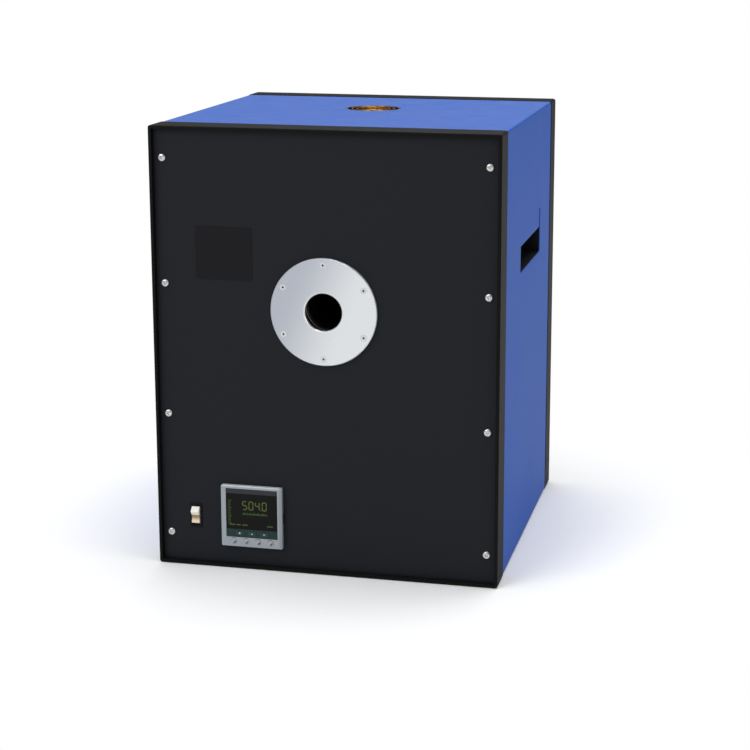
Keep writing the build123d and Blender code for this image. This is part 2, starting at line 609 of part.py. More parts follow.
def cover():
    """Blue sheet bent over the top and both sides, with its bottom edges turned in."""
    y = (COVER_FRONT_Y, COVER_BACK_Y)
    past = (y[0] - OVERCUT, y[1] + OVERCUT)
    height = COVER_TOP_Z - COVER_BOTTOM_Z
    middle = (COVER_TOP_Z + COVER_BOTTOM_Z) / 2
    wrap = plate_y(2 * COVER_HALF, height, y, z=middle, radius=COVER_BEND_RADIUS)
    inside = plate_y(2 * COVER_INNER_HALF, height - 2 * COVER_THICKNESS, past, z=middle,
                     radius=COVER_BEND_RADIUS - COVER_THICKNESS)
    open_half = COVER_INNER_HALF - COVER_FLANGE_WIDTH
    underside = slab((-open_half, open_half), past, (COVER_BOTTOM_Z - OVERCUT, PAN_TOP_Z))
    sheet = wrap - inside - underside
    tongue_end = TONGUE_LENGTH - COVER_END_GAP
    roof = (COVER_UNDER_Z - OVERCUT, COVER_TOP_Z + OVERCUT)
    cuts = [rod_z(VENT_RADIUS, roof, y=FAN_Y)]
    sink = countersink(FAN_SCREW_RADIUS, FAN_SCREW_HEAD_RADIUS, FAN_THICKNESS)
    cuts += [Pos(x, yy, COVER_TOP_Z) * Rot(-90, 0, 0) * sink for x, yy in fan_corner_places()]
    cuts.append(handhold_window(0.0))
    hole = countersink(COVER_SCREW_RADIUS, COVER_SCREW_HEAD_RADIUS, COVER_SCREW_LENGTH)
    cuts += [Pos(x, yy, COVER_BOTTOM_Z) * Rot(90, 0, 0) * hole for x, yy in cover_screw_places()]
    notch = (COVER_BOTTOM_Z - OVERCUT, COVER_BOTTOM_Z + COVER_THICKNESS + SHEET_CLEARANCE)
    for end in ((y[0] - OVERCUT, y[0] + tongue_end), (y[1] - tongue_end, y[1] + OVERCUT)):
        cuts.append(slab((-COVER_INNER_HALF + OVERCUT, COVER_INNER_HALF - OVERCUT), end, notch))
    return cut_all(sheet, cuts)


def cover_screws():
    screw = countersunk_screw(COVER_SCREW_RADIUS, COVER_SCREW_LENGTH, COVER_SCREW_HEAD_RADIUS)
    return [Pos(x, y, COVER_BOTTOM_Z) * Rot(90, 0, 0) * screw for x, y in cover_screw_places()]


def base_pan():
    """Floor tray between the end frames, with turned-up sides inside the cover."""
    half = COVER_INNER_HALF - SHEET_CLEARANCE
    y = (COVER_FRONT_Y, COVER_BACK_Y)
    side_y = (y[0] + TONGUE_LENGTH, y[1] - TONGUE_LENGTH)
    floor = slab((-half, half), y, (PAN_BOTTOM_Z, PAN_TOP_Z))
    sides = [slab((x, x + PAN_THICKNESS), side_y, (PAN_BOTTOM_Z, PAN_TOP_Z + PAN_FLANGE_HEIGHT))
             for x in (-half, half - PAN_THICKNESS)]
    hole = countersink(COVER_SCREW_RADIUS, COVER_SCREW_HEAD_RADIUS, COVER_SCREW_LENGTH)
    holes = [Pos(x, yy, COVER_BOTTOM_Z) * Rot(90, 0, 0) * hole for x, yy in cover_screw_places()]
    pan = solid_sum([floor] + sides)
    pan = fillet(pan.edges().filter_by(Axis.Y).group_by(Axis.Z)[0], PAN_EDGE_ROUND)
    return cut_all(pan, holes)


def panel_blank(y):
    """Panel with its screw holes, as it fits inside an end frame."""
    width = CABINET_WIDTH - 2 * FRAME_WALL - 2 * PANEL_GAP
    height = CABINET_HEIGHT - 2 * FRAME_WALL - 2 * PANEL_GAP
    blank = plate_y(width, height, y, z=MIDDLE_Z, radius=PANEL_CORNER_RADIUS)
    holes = [rod_y(PANEL_SCREW_RADIUS + SCREW_CLEARANCE, (y[0] - OVERCUT, y[1] + OVERCUT), x, z)
             for x, z in panel_screw_places()]
    return cut_all(blank, holes)


def front_panel():
    past = (PANEL_FRONT_Y - OVERCUT, PANEL_BACK_Y + OVERCUT)
    cutout = CONTROLLER_CASE_SIZE + 2 * CONTROLLER_CUTOUT_CLEARANCE
    cuts = [rod_y(THROAT_RING_RADIUS + THROAT_HOLE_CLEARANCE, past, z=APERTURE_Z),
            plate_y(cutout, cutout, past, CONTROLLER_X, CONTROLLER_Z),
            plate_y(SWITCH_BODY_WIDTH + 2 * PANEL_GAP, SWITCH_BODY_HEIGHT + 2 * PANEL_GAP, past,
                    SWITCH_X, SWITCH_Z)]
    cuts += [rod_y(APERTURE_SCREW_RADIUS + THREAD_CLEARANCE, past, x, z)
             for x, z in aperture_screw_places()]
    return cut_all(panel_blank((PANEL_FRONT_Y, PANEL_BACK_Y)), cuts)


def front_panel_screws():
    screw = pan_head_screw(PANEL_SCREW_RADIUS, PANEL_SCREW_LENGTH, PANEL_SCREW_HEAD_RADIUS,
                           PANEL_SCREW_HEAD_HEIGHT)
    return [Pos(x, PANEL_FRONT_Y, z) * screw for x, z in panel_screw_places()]


def rear_panel():
    """Rear panel with two banks of air slots and the cut-outs for its fittings."""
    past = (REAR_PANEL_IN_Y - OVERCUT, REAR_PANEL_OUT_Y + OVERCUT)
    cuts = [plate_y(INLET_BODY_WIDTH + 2 * PANEL_GAP, INLET_BODY_HEIGHT + 2 * PANEL_GAP, past,
                    INLET_X, INLET_Z),
            plate_y(PORT_SHELL_WIDTH + 2 * PORT_HOLE_CLEARANCE, PORT_SHELL_HEIGHT + 2 * PORT_HOLE_CLEARANCE,
                    past, PORT_X, PORT_Z)]
    for x in (-REAR_VENT_X, REAR_VENT_X):
        for row in range(REAR_VENT_ROWS):
            z = REAR_VENT_LOW_Z + REAR_VENT_PITCH * row
            cuts.append(plate_y(REAR_VENT_WIDTH, REAR_VENT_SLOT, past, x, z,
                                radius=REAR_VENT_SLOT * REAR_VENT_END_SHARE))
    for x in (-INLET_SCREW_SPACING / 2, INLET_SCREW_SPACING / 2):
        cuts.append(rod_y(INLET_SCREW_RADIUS + THREAD_CLEARANCE, past, INLET_X + x, INLET_Z))
    for x in (-PORT_SCREW_SPACING / 2, PORT_SCREW_SPACING / 2):
        cuts.append(rod_y(PORT_SCREW_RADIUS / 2 + THREAD_CLEARANCE, past, PORT_X + x, PORT_Z))
    return cut_all(panel_blank((REAR_PANEL_IN_Y, REAR_PANEL_OUT_Y)), cuts)


def rear_panel_screws():
    screw = pan_head_screw(PANEL_SCREW_RADIUS, PANEL_SCREW_LENGTH, PANEL_SCREW_HEAD_RADIUS,
                           PANEL_SCREW_HEAD_HEIGHT)
    return [Pos(x, REAR_PANEL_OUT_Y, z) * Rot(0, 0, 180) * screw for x, z in panel_screw_places()]


def blank_plate():
    y = (PANEL_FRONT_Y - PLATE_THICKNESS, PANEL_FRONT_Y)
    return plate_y(PLATE_WIDTH, PLATE_HEIGHT, y, PLATE_X, PLATE_Z, radius=PLATE_THICKNESS)


def handle_pocket():
    """Black pocket behind the right-hand hand-hold, with a flange against the cover."""
    high = HANDHOLD_HEIGHT + 2 * SHEET_CLEARANCE
    wide = HANDHOLD_WIDTH + 2 * SHEET_CLEARANCE
    centre_z = HANDHOLD_LOW_Z + HANDHOLD_HEIGHT / 2
    mouth_x = COVER_INNER_HALF
    back_x = mouth_x - POCKET_DEPTH

    def block(x, grow):
        return slab(x, (HANDHOLD_Y - wide / 2 - grow, HANDHOLD_Y + wide / 2 + grow),
                    (centre_z - high / 2 - grow, centre_z + high / 2 + grow))

    flange = block((mouth_x - POCKET_WALL, mouth_x), POCKET_FLANGE_WIDTH)
    cup = block((back_x, mouth_x), POCKET_WALL)
    hollow = block((back_x + POCKET_WALL, mouth_x + OVERCUT), 0)
    return (flange + cup) - hollow


def handle_grip():
    """Blue grip plate over the upper part of the right-hand pocket, with a curled lower edge."""
    outer_x = COVER_HALF - GRIP_SETBACK
    inner_x = outer_x - GRIP_THICKNESS
    half = HANDHOLD_WIDTH / 2 - SHEET_CLEARANCE
    y = (HANDHOLD_Y - half, HANDHOLD_Y + half)
    curl_z = GRIP_LOW_Z + GRIP_CURL_RADIUS
    curl_x = outer_x - GRIP_CURL_RADIUS
    plate = slab((inner_x, outer_x), y, (curl_z, HANDHOLD_HIGH_Z - SHEET_CLEARANCE))
    curl = rod_y(GRIP_CURL_RADIUS, y, curl_x, curl_z)
    past = (y[0] - OVERCUT, y[1] + OVERCUT)
    curl = curl - rod_y(GRIP_CURL_RADIUS - GRIP_THICKNESS, past, curl_x, curl_z)
    upper_half = slab((curl_x - 2 * GRIP_CURL_RADIUS, curl_x + 2 * GRIP_CURL_RADIUS), past,
                      (curl_z, curl_z + 2 * GRIP_CURL_RADIUS))
    back_leg = slab((curl_x - GRIP_CURL_RADIUS, curl_x - GRIP_CURL_RADIUS + GRIP_THICKNESS), y,
                    (curl_z, curl_z + GRIP_CURL_RADIUS))
    tab_z = (curl_z + GRIP_CURL_RADIUS * 2, HANDHOLD_HIGH_Z - SHEET_CLEARANCE)
    tabs = [slab((outer_x - GRIP_TAB_DEPTH, outer_x), (end, end + GRIP_THICKNESS), tab_z)
            for end in (y[0], y[1] - GRIP_THICKNESS)]
    return solid_sum([plate, curl - upper_half, back_leg] + tabs) & handhold_window(SHEET_CLEARANCE)


def aperture_plate():
    """Aluminium disc over the cavity, with a chamfered sight hole and six countersunk holes."""
    y = (APERTURE_PLATE_FRONT_Y, PANEL_FRONT_Y)
    disc = rod_y(APERTURE_PLATE_RADIUS, y, z=APERTURE_Z)
    disc = disc - rod_y(APERTURE_RADIUS, (y[0] - OVERCUT, y[1] + OVERCUT), z=APERTURE_Z)
    disc = chamfer(disc.faces().sort_by(Axis.Y)[0].edges(), APERTURE_EDGE_CHAMFER)
    hole = countersink(APERTURE_SCREW_RADIUS, APERTURE_SCREW_HEAD_RADIUS, APERTURE_SCREW_LENGTH)
    return cut_all(disc, [Pos(x, y[0], z) * hole for x, z in aperture_screw_places()])


def aperture_screws():
    screw = countersunk_screw(APERTURE_SCREW_RADIUS, APERTURE_SCREW_LENGTH, APERTURE_SCREW_HEAD_RADIUS)
    return [Pos(x, APERTURE_PLATE_FRONT_Y, z) * screw for x, z in aperture_screw_places()]


def throat_ring():
    """Fibre ring between the aperture plate and the chamber."""
    y = (PANEL_FRONT_Y, BLOCK_FRONT_Y)
    bore = LINER_RADIUS + LINER_WALL + SHEET_CLEARANCE
    ring = rod_y(THROAT_RING_RADIUS, y, z=APERTURE_Z)
    return ring - rod_y(bore, (y[0] - OVERCUT, y[1] + OVERCUT), z=APERTURE_Z)


def throat_liner():
    """Dark sheet sleeve that lines the way from the aperture plate to the tube's lip."""
    y = (PANEL_FRONT_Y + LINER_END_GAP, LIP_Y - LINER_END_GAP)
    sleeve = rod_y(LINER_RADIUS + LINER_WALL, y, z=APERTURE_Z)
    return sleeve - rod_y(LINER_RADIUS, (y[0] - OVERCUT, y[1] + OVERCUT), z=APERTURE_Z)


def cavity_tube():
    """Closed-end ceramic tube whose back wall is a hollow cone."""
    half_profile = Polyline((CAVITY_RADIUS, LIP_Y), (CAVITY_OUTER_RADIUS, LIP_Y),
                            (CAVITY_OUTER_RADIUS, CAVITY_END_Y), (0, CAVITY_END_Y),
                            (0, CAVITY_END_Y - CAVITY_END_WALL),
                            (CAVITY_RADIUS, CAVITY_END_Y - CAVITY_END_WALL - CAVITY_CONE_DEPTH), close=True)
    return Pos(0, 0, APERTURE_Z) * revolve(make_face(half_profile), axis=Axis.Y)


def front_insulation():
    """Front block: the tube's bore, opened out where the liner reaches in."""
    block = slab((-BLOCK_HALF, BLOCK_HALF), (BLOCK_FRONT_Y, HOT_FRONT_Y), (HOT_LOW_Z, HOT_HIGH_Z))
    liner_room = LINER_RADIUS + LINER_WALL + SHEET_CLEARANCE
    block = block - rod_y(liner_room, (BLOCK_FRONT_Y - OVERCUT, LIP_Y), z=APERTURE_Z)
    return block - rod_y(TUBE_BORE_RADIUS, (LIP_Y - OVERCUT, HOT_FRONT_Y + OVERCUT), z=APERTURE_Z)


def rear_insulation():
    """Rear block: a seat for the tube's end and the holes for the two probes."""
    block = slab((-BLOCK_HALF, BLOCK_HALF), (HOT_BACK_Y, BLOCK_BACK_Y), (HOT_LOW_Z, HOT_HIGH_Z))
    past = (HOT_BACK_Y - OVERCUT, BLOCK_BACK_Y + OVERCUT)
    probe_hole = PROBE_RADIUS + CAVITY_BORE_CLEARANCE
    return cut_all(block, [rod_y(TUBE_BORE_RADIUS, (HOT_BACK_Y - OVERCUT, CAVITY_END_Y), z=APERTURE_Z),
                           rod_y(probe_hole, past, z=APERTURE_Z),
                           rod_y(probe_hole, past, LIMIT_PROBE_X, LIMIT_PROBE_Z)])


def side_insulation():
    right = slab((HOT_HALF, BLOCK_HALF), (HOT_FRONT_Y, HOT_BACK_Y), (HOT_LOW_Z, HOT_HIGH_Z))
    return [right, mirrored_x(right)]


def floor_insulation():
    return slab((-BLOCK_HALF, BLOCK_HALF), (BLOCK_FRONT_Y, BLOCK_BACK_Y), (BLOCK_LOW_Z, HOT_LOW_Z))


def roof_insulation():
    """Roof block with a hole for each leg of the hairpins."""
    block = slab((-BLOCK_HALF, BLOCK_HALF), (BLOCK_FRONT_Y, BLOCK_BACK_Y), (HOT_HIGH_Z, BLOCK_HIGH_Z))
    radius = ELEMENT_TERMINAL_RADIUS + ELEMENT_HOLE_CLEARANCE
    return cut_all(block, [rod_z(radius, (HOT_HIGH_Z - OVERCUT, BLOCK_HIGH_Z + OVERCUT), x, y)
                           for x, y in element_leg_places()])


def chamber_shell():
    """Sheet steel box round the insulation, open at the top."""
    outer = slab((-SHELL_HALF, SHELL_HALF), (SHELL_FRONT_Y, SHELL_BACK_Y), (SHELL_LOW_Z, BLOCK_HIGH_Z))
    inner = slab((-BLOCK_HALF, BLOCK_HALF), (BLOCK_FRONT_Y, BLOCK_BACK_Y),
                 (BLOCK_LOW_Z, BLOCK_HIGH_Z + OVERCUT))
    probe_hole = PROBE_RADIUS + THROAT_HOLE_CLEARANCE
    back = (BLOCK_BACK_Y - OVERCUT, SHELL_BACK_Y + OVERCUT)
    return cut_all(outer - inner, [
        rod_y(THROAT_RING_RADIUS + THROAT_HOLE_CLEARANCE, (SHELL_FRONT_Y - OVERCUT, BLOCK_FRONT_Y + OVERCUT),
              z=APERTURE_Z),
        rod_y(probe_hole, back, z=APERTURE_Z),
        rod_y(probe_hole, back, LIMIT_PROBE_X, LIMIT_PROBE_Z)])


def shell_lid():
    """Lid of the chamber shell, turned down round the edge and pierced for the holders."""
    half = SHELL_HALF + SHEET_CLEARANCE + SHELL_THICKNESS
    y = (SHELL_FRONT_Y - SHEET_CLEARANCE - SHELL_THICKNESS, SHELL_BACK_Y + SHEET_CLEARANCE + SHELL_THICKNESS)
    low = SHELL_HIGH_Z - SHELL_LIP_HEIGHT
    cap = slab((-half, half), y, (low, SHELL_HIGH_Z))
    inside = slab((-half + SHELL_THICKNESS, half - SHELL_THICKNESS),
                  (y[0] + SHELL_THICKNESS, y[1] - SHELL_THICKNESS), (low - OVERCUT, BLOCK_HIGH_Z))
    holes = [rod_z(HOLDER_RADIUS + SCREW_CLEARANCE, (BLOCK_HIGH_Z - OVERCUT, SHELL_HIGH_Z + OVERCUT), x, yy)
             for x, yy in element_leg_places()]
    return cut_all(cap - inside, holes)


def shell_legs():
    """Four angle posts that carry the chamber shell on the base pan."""
    legs = []
    for x_side in (-1, 1):
        for y_side in (-1, 1):
            x = sorted((x_side * SHELL_HALF, x_side * (SHELL_HALF - LEG_SIZE)))
            y_out = (SHELL_FRONT_Y if y_side < 0 else SHELL_BACK_Y) - y_side * LEG_SETBACK
            y = sorted((y_out, y_out - y_side * LEG_SIZE))
            x_web = sorted((x_side * SHELL_HALF, x_side * (SHELL_HALF - LEG_THICKNESS)))
            y_web = sorted((y_out, y_out - y_side * LEG_THICKNESS))
            x_foot = sorted((x_side * SHELL_HALF, x_side * (SHELL_HALF - LEG_FOOT)))
            legs.append(solid_sum([slab(x, y_web, (PAN_TOP_Z, SHELL_LOW_Z)),
                                   slab(x_web, y, (PAN_TOP_Z, SHELL_LOW_Z)),
                                   slab(x_foot, y, (PAN_TOP_Z, PAN_TOP_Z + LEG_THICKNESS)),
                                   slab(x, y, (SHELL_LOW_Z - LEG_THICKNESS, SHELL_LOW_Z))]))
    return legs


def heating_elements():
    """Hairpins: a thin bent rod whose two legs go up into thick terminals."""
    half = ELEMENT_LEG_SPACING / 2
    bend_z = HOT_HIGH_Z - ELEMENT_DROP + half + ELEMENT_HOT_RADIUS
    top_z = BLOCK_HIGH_Z + ELEMENT_STAND
    taper_z = HOT_HIGH_Z - ELEMENT_TAPER
    leg = ELEMENT_HOT_RADIUS
    terminal_face = make_face(Polyline((0, taper_z - bend_z), (leg + ELEMENT_SHOULDER, taper_z - bend_z),
                                       (ELEMENT_TERMINAL_RADIUS, HOT_HIGH_Z - bend_z),
                                       (ELEMENT_TERMINAL_RADIUS, top_z - bend_z), (0, top_z - bend_z),
                                       close=True))
    terminal = revolve(Plane.XZ * terminal_face, axis=Axis.Z)
    path = (Line((0, -half, taper_z - bend_z + ELEMENT_TAPER / 2), (0, -half, 0))
            + ThreePointArc((0, -half, 0), (0, 0, -half), (0, half, 0))
            + Line((0, half, 0), (0, half, taper_z - bend_z + ELEMENT_TAPER / 2)))
    rod = sweep(Pos(0, -half, taper_z - bend_z + ELEMENT_TAPER / 2) * Circle(leg), path=path)
    hairpin = rod + Pos(0, -half, 0) * terminal + Pos(0, half, 0) * terminal
    return [Pos(x, y, bend_z) * hairpin for x, y in element_places()]


def element_holders():
    """Ceramic collars that carry the hairpins on the roof block."""
    z = (BLOCK_HIGH_Z, HOLDER_TOP_Z)
    bore = ELEMENT_TERMINAL_RADIUS + SHEET_CLEARANCE
    return [rod_z(HOLDER_RADIUS, z, x, y) - rod_z(bore, (z[0] - OVERCUT, z[1] + OVERCUT), x, y)
            for x, y in element_leg_places()]


def element_clamps():
    """Slit aluminium blocks clamped on the terminals."""
    z = (HOLDER_TOP_Z, CLAMP_TOP_Z)
    past = (z[0] - OVERCUT, z[1] + OVERCUT)
    clamps = []
    for x, y in element_leg_places():
        outward = 1 if x > 0 else -1
        block = Pos(x, y, (z[0] + z[1]) / 2) * Box(CLAMP_SIZE, CLAMP_SIZE, CLAMP_HEIGHT)
        slit = slab(sorted((x, x + outward * CLAMP_SIZE)), (y - CLAMP_SLIT / 2, y + CLAMP_SLIT / 2), past)
        bore = rod_z(ELEMENT_TERMINAL_RADIUS + THREAD_CLEARANCE, past, x, y)
        clamps.append(block - bore - slit)
    return clamps


def strap(x, y):
    """Flat strap lying on the clamps over the given X and Y limits."""
    return slab(x, y, (CLAMP_TOP_Z, STRAP_TOP_Z))


def element_straps():
    """Straps that put the hairpins in series, with a long one across at the back."""
    half = ELEMENT_LEG_SPACING / 2
    reach = STRAP_WIDTH / 2
    rows = [y for x, y in element_places() if x > 0]
    straps = []
    for x in (-ELEMENT_X, ELEMENT_X):
        for near, far in zip(rows, rows[1:]):
            straps.append(strap((x - reach, x + reach), (near + half - reach, far - half + reach)))
    last = rows[-1] + half
    straps.append(strap((-ELEMENT_X - reach, ELEMENT_X + reach), (last - reach, last + reach)))
    through = (CLAMP_TOP_Z - OVERCUT, STRAP_TOP_Z + OVERCUT)
    bores = [rod_z(ELEMENT_TERMINAL_RADIUS + THREAD_CLEARANCE, through, x, y)
             for x, y in element_leg_places()]
    return [cut_all(piece, bores) for piece in straps]


def power_leads():
    """Two flat bars from the first hairpins, down past the shell and in to the transformer."""
    y = min(y for x, y in element_leg_places())
    reach = STRAP_WIDTH / 2
    width = (y - reach, y + reach)
    bore = rod_z(ELEMENT_TERMINAL_RADIUS + THREAD_CLEARANCE, (CLAMP_TOP_Z - OVERCUT, STRAP_TOP_Z + OVERCUT),
                 ELEMENT_X, y)
    top = strap((ELEMENT_X - reach, LEAD_X + STRAP_THICKNESS), width) - bore
    drop = slab((LEAD_X, LEAD_X + STRAP_THICKNESS), width, (LEAD_LOW_Z, STRAP_TOP_Z))
    low_z = (LEAD_LOW_Z, LEAD_LOW_Z + STRAP_THICKNESS)
    terminal_x = CORE_LIMB / 2
    terminal_y = TRANSFORMER_Y - CORE_STACK / 2 - COIL_BUILD / 2
    coil_top = PAN_TOP_Z + CORE_BRACKET_THICKNESS + CORE_HEIGHT - CORE_LIMB / 2 - COIL_CLEARANCE
    leads = []
    for side in (-1, 1):
        end_x = TRANSFORMER_X + side * terminal_x
        run_x = sorted((end_x - reach, side * (LEAD_X + STRAP_THICKNESS)))
        if side > 0:
            run_x = (end_x - reach, LEAD_X + STRAP_THICKNESS)
        across = slab(run_x, width, low_z)
        back = slab((end_x - reach, end_x + reach), (y - reach, terminal_y), low_z)
        post = slab((end_x - reach, end_x + reach), (terminal_y - STRAP_THICKNESS, terminal_y),
                    (coil_top, low_z[1]))
        upper = (top + drop) if side > 0 else mirrored_x(top + drop)
        leads.append(solid_sum([upper, across, back, post]))
    return leads


def probe(tip_y, x, z):
    """Ceramic-sheathed thermocouple with a connection head outside the shell."""
    head_y = SHELL_BACK_Y + PROBE_STANDOFF
    sheath = rod_y(PROBE_RADIUS, (tip_y, head_y + OVERCUT), x, z)
    collar = rod_y(2 * PROBE_RADIUS, (SHELL_BACK_Y, SHELL_BACK_Y + PROBE_STANDOFF + OVERCUT), x, z)
    head = plate_y(PROBE_HEAD_SIZE, PROBE_HEAD_SIZE, (head_y, head_y + PROBE_HEAD_DEPTH), x, z,
                   radius=PROBE_RADIUS)
    return solid_sum([sheath, collar, head])


def control_thermocouple():
    return probe(CAVITY_END_Y + CAVITY_BORE_CLEARANCE, 0, APERTURE_Z)


def limit_thermocouple():
    return probe(HOT_BACK_Y - 2 * PROBE_RADIUS, LIMIT_PROBE_X, LIMIT_PROBE_Z)


def fan_frame():
    """Square fan housing with a round duct, corner holes, guard grooves and a motor mount on struts."""
    z = (FAN_LOW_Z, COVER_UNDER_Z)
    past = (z[0] - OVERCUT, z[1] + OVERCUT)
    body = Pos(0, FAN_Y, z[0]) * extrude(RectangleRounded(FAN_SIZE, FAN_SIZE, FAN_CORNER_RADIUS),
                                         amount=FAN_THICKNESS)
    body = body - rod_z(FAN_BORE_RADIUS, past, y=FAN_Y)
    body = cut_all(body, [rod_z(FAN_SCREW_RADIUS + THREAD_CLEARANCE, past, x, y)
                          for x, y in fan_corner_places()])
    half = GUARD_WIRE_RADIUS + GUARD_GROOVE_CLEARANCE
    reach = GUARD_RIB_REACH + GUARD_GROOVE_CLEARANCE
    groove = slab((-reach, reach), (-half, half), (z[1] - 2 * half, z[1] + OVERCUT))
    body = cut_all(body, [Pos(0, FAN_Y, 0) * Rot(0, 0, turn) * groove for turn in GUARD_RIB_TURNS])
    mount = rod_z(FAN_MOTOR_RADIUS, (z[0], z[0] + FAN_MOTOR_HEIGHT), y=FAN_Y)
    for n in range(FAN_STRUT_COUNT):
        strut = slab((0, FAN_BORE_RADIUS + FUSE_LAP), (-FAN_STRUT_WIDTH / 2, FAN_STRUT_WIDTH / 2),
                     (0, FAN_MOTOR_HEIGHT))
        mount = mount + Pos(0, FAN_Y, z[0]) * Rot(0, 0, 360 * n / FAN_STRUT_COUNT) * strut
    bearing = rod_z(ROTOR_SHAFT_RADIUS + ROTOR_SHAFT_CLEARANCE, past, y=FAN_Y)
    return (body + mount) - bearing


def blade_section(radius, chord, pitch, skew):
    """Curved-back section of a blade, square to the radius at the given distance out."""
    plane = Plane(origin=(radius, 0, 0), x_dir=(0, 1, 0), z_dir=(1, 0, 0))
    crown = chord * BLADE_CAMBER_SHARE
    outline = Polyline((-chord / 2, 0), (0, crown), (chord / 2, 0), (0, crown - BLADE_THICKNESS), close=True)
    face = make_face(outline)
    return Rot(0, 0, skew) * plane * Rot(0, 0, pitch) * face


def fan_rotor():
    """Hub with a ring of lofted blades that twist and lean as they go out."""
    low = FAN_LOW_Z + FAN_MOTOR_HEIGHT + ROTOR_RUNNING_GAP
    centre = low + ROTOR_HEIGHT / 2
    hub = rod_z(ROTOR_HUB_RADIUS, (-ROTOR_HEIGHT / 2, ROTOR_HEIGHT / 2))
    hub = fillet(hub.edges().sort_by(Axis.Z)[-1], ROTOR_HUB_ROUND)
    sections = []
    start = ROTOR_HUB_RADIUS - ROTOR_HUB_ROUND
    for n in range(BLADE_SECTION_COUNT):
        share = n / (BLADE_SECTION_COUNT - 1)
        sections.append(blade_section(start + (ROTOR_RADIUS + OVERCUT - start) * share,
                                      BLADE_ROOT_CHORD + (BLADE_TIP_CHORD - BLADE_ROOT_CHORD) * share,
                                      BLADE_ROOT_PITCH + (BLADE_TIP_PITCH - BLADE_ROOT_PITCH) * share,
                                      BLADE_SKEW * share))
    blade = loft(sections)
    sweep = rod_z(ROTOR_RADIUS, (-ROTOR_HEIGHT / 2, ROTOR_HEIGHT / 2))
    blade = blade & sweep
    rotor = solid_sum([hub] + [Rot(0, 0, 360 * n / BLADE_COUNT) * blade for n in range(BLADE_COUNT)])
    shaft_low = FAN_LOW_Z + 1 - centre
    rotor = rotor + rod_z(ROTOR_SHAFT_RADIUS, (shaft_low, 0))
    return Pos(0, FAN_Y, centre) * rotor


def wire_ring(radius, z):
    """Ring of round wire about the fan's axis."""
    return Pos(0, FAN_Y, z) * Torus(radius, GUARD_WIRE_RADIUS)


def vent_guard():
    """Wire finger guard: rings on crossed ribs whose ends lie in grooves under the cover."""
    rings = [wire_ring(GUARD_OUTER_RING_RADIUS - GUARD_RING_STEP * n, GUARD_RING_Z)
             for n in range(GUARD_RING_COUNT)]
    rib = Rot(0, 90, 0) * Cylinder(GUARD_WIRE_RADIUS, 2 * GUARD_RIB_REACH)
    ribs = [Pos(0, FAN_Y, GUARD_RIB_Z) * Rot(0, 0, turn) * rib for turn in GUARD_RIB_TURNS]
    return solid_sum(ribs + rings)


def fan_screws():
    screw = countersunk_screw(FAN_SCREW_RADIUS, FAN_THICKNESS, FAN_SCREW_HEAD_RADIUS)
    return [Pos(x, y, COVER_TOP_Z) * Rot(-90, 0, 0) * screw for x, y in fan_corner_places()]


def round_key_places():
    """Centres of the four round keys, as (x, z)."""
    return [(CONTROLLER_X + KEY_PITCH * (n - 1.5), CONTROLLER_Z - ROUND_KEY_DROP_HEIGHT) for n in range(4)]


def strip_key_places():
    """Centres of the three flat keys under the display, as (x, z)."""
    return [(CONTROLLER_X + KEY_PITCH * (n - 1), CONTROLLER_Z - STRIP_KEY_DROP_HEIGHT) for n in range(3)]


def strip_key_blank(y, x, z, grow=0.0):
    return plate_y(STRIP_KEY_WIDTH + 2 * grow, STRIP_KEY_HEIGHT + 2 * grow, y, x, z, radius=STRIP_KEY_CORNER)


def controller_bezel():
    """Front frame of the controller with the display recess and blind pockets for its keys."""
    y = (BEZEL_FRONT_Y, BEZEL_BACK_Y)
    bezel = plate_y(CONTROLLER_SIZE, CONTROLLER_SIZE, y, CONTROLLER_X, CONTROLLER_Z,
                    radius=CONTROLLER_CORNER_RADIUS)
    bezel = fillet(bezel.faces().sort_by(Axis.Y)[0].edges(), CONTROLLER_EDGE_ROUND)
    recess_z = CONTROLLER_Z + (LENS_RISE_HEIGHT - KEY_STRIP_DROP_HEIGHT) / 2
    recess_y = (y[0] - OVERCUT, y[0] + LENS_RECESS)
    cuts = [plate_y(LENS_WIDTH, LENS_RISE_HEIGHT + KEY_STRIP_DROP_HEIGHT, recess_y, CONTROLLER_X, recess_z)]
    pocket = (y[0] - OVERCUT, y[0] + KEY_POCKET_DEPTH)
    cuts += [rod_y(ROUND_KEY_RADIUS + KEY_CLEARANCE, pocket, x, z) for x, z in round_key_places()]
    cuts += [strip_key_blank(pocket, x, z, KEY_CLEARANCE) for x, z in strip_key_places()]
    for side in (-1, 1):
        edge = CONTROLLER_X + side * CONTROLLER_SIZE / 2
        notch_x = sorted((edge + side, edge - side * (LATCH_WIDTH - LATCH_PROUD + PANEL_GAP)))
        cuts.append(slab(notch_x, (y[1] - LATCH_DEPTH - PANEL_GAP, y[1] + OVERCUT),
                         (CONTROLLER_Z - LATCH_HEIGHT / 2 - PANEL_GAP,
                          CONTROLLER_Z + LATCH_HEIGHT / 2 + PANEL_GAP)))
    return cut_all(bezel, cuts)


def controller_latches():
    """Small latch ears that stand out at both sides of the controller."""
    ears = []
    for side in (-1, 1):
        edge = CONTROLLER_X + side * CONTROLLER_SIZE / 2
        x = sorted((edge + side * LATCH_PROUD, edge - side * (LATCH_WIDTH - LATCH_PROUD)))
        ears.append(slab(x, (BEZEL_BACK_Y - LATCH_DEPTH, BEZEL_BACK_Y),
                         (CONTROLLER_Z - LATCH_HEIGHT / 2, CONTROLLER_Z + LATCH_HEIGHT / 2)))
    return ears


def display_lens():
    back = BEZEL_FRONT_Y + LENS_RECESS
    low = CONTROLLER_Z - LENS_DROP_HEIGHT
    high = CONTROLLER_Z + LENS_RISE_HEIGHT - LENS_CLEARANCE
    return plate_y(LENS_WIDTH - 2 * LENS_CLEARANCE, high - low, (back - LENS_THICKNESS, back),
                   CONTROLLER_X, (low + high) / 2)


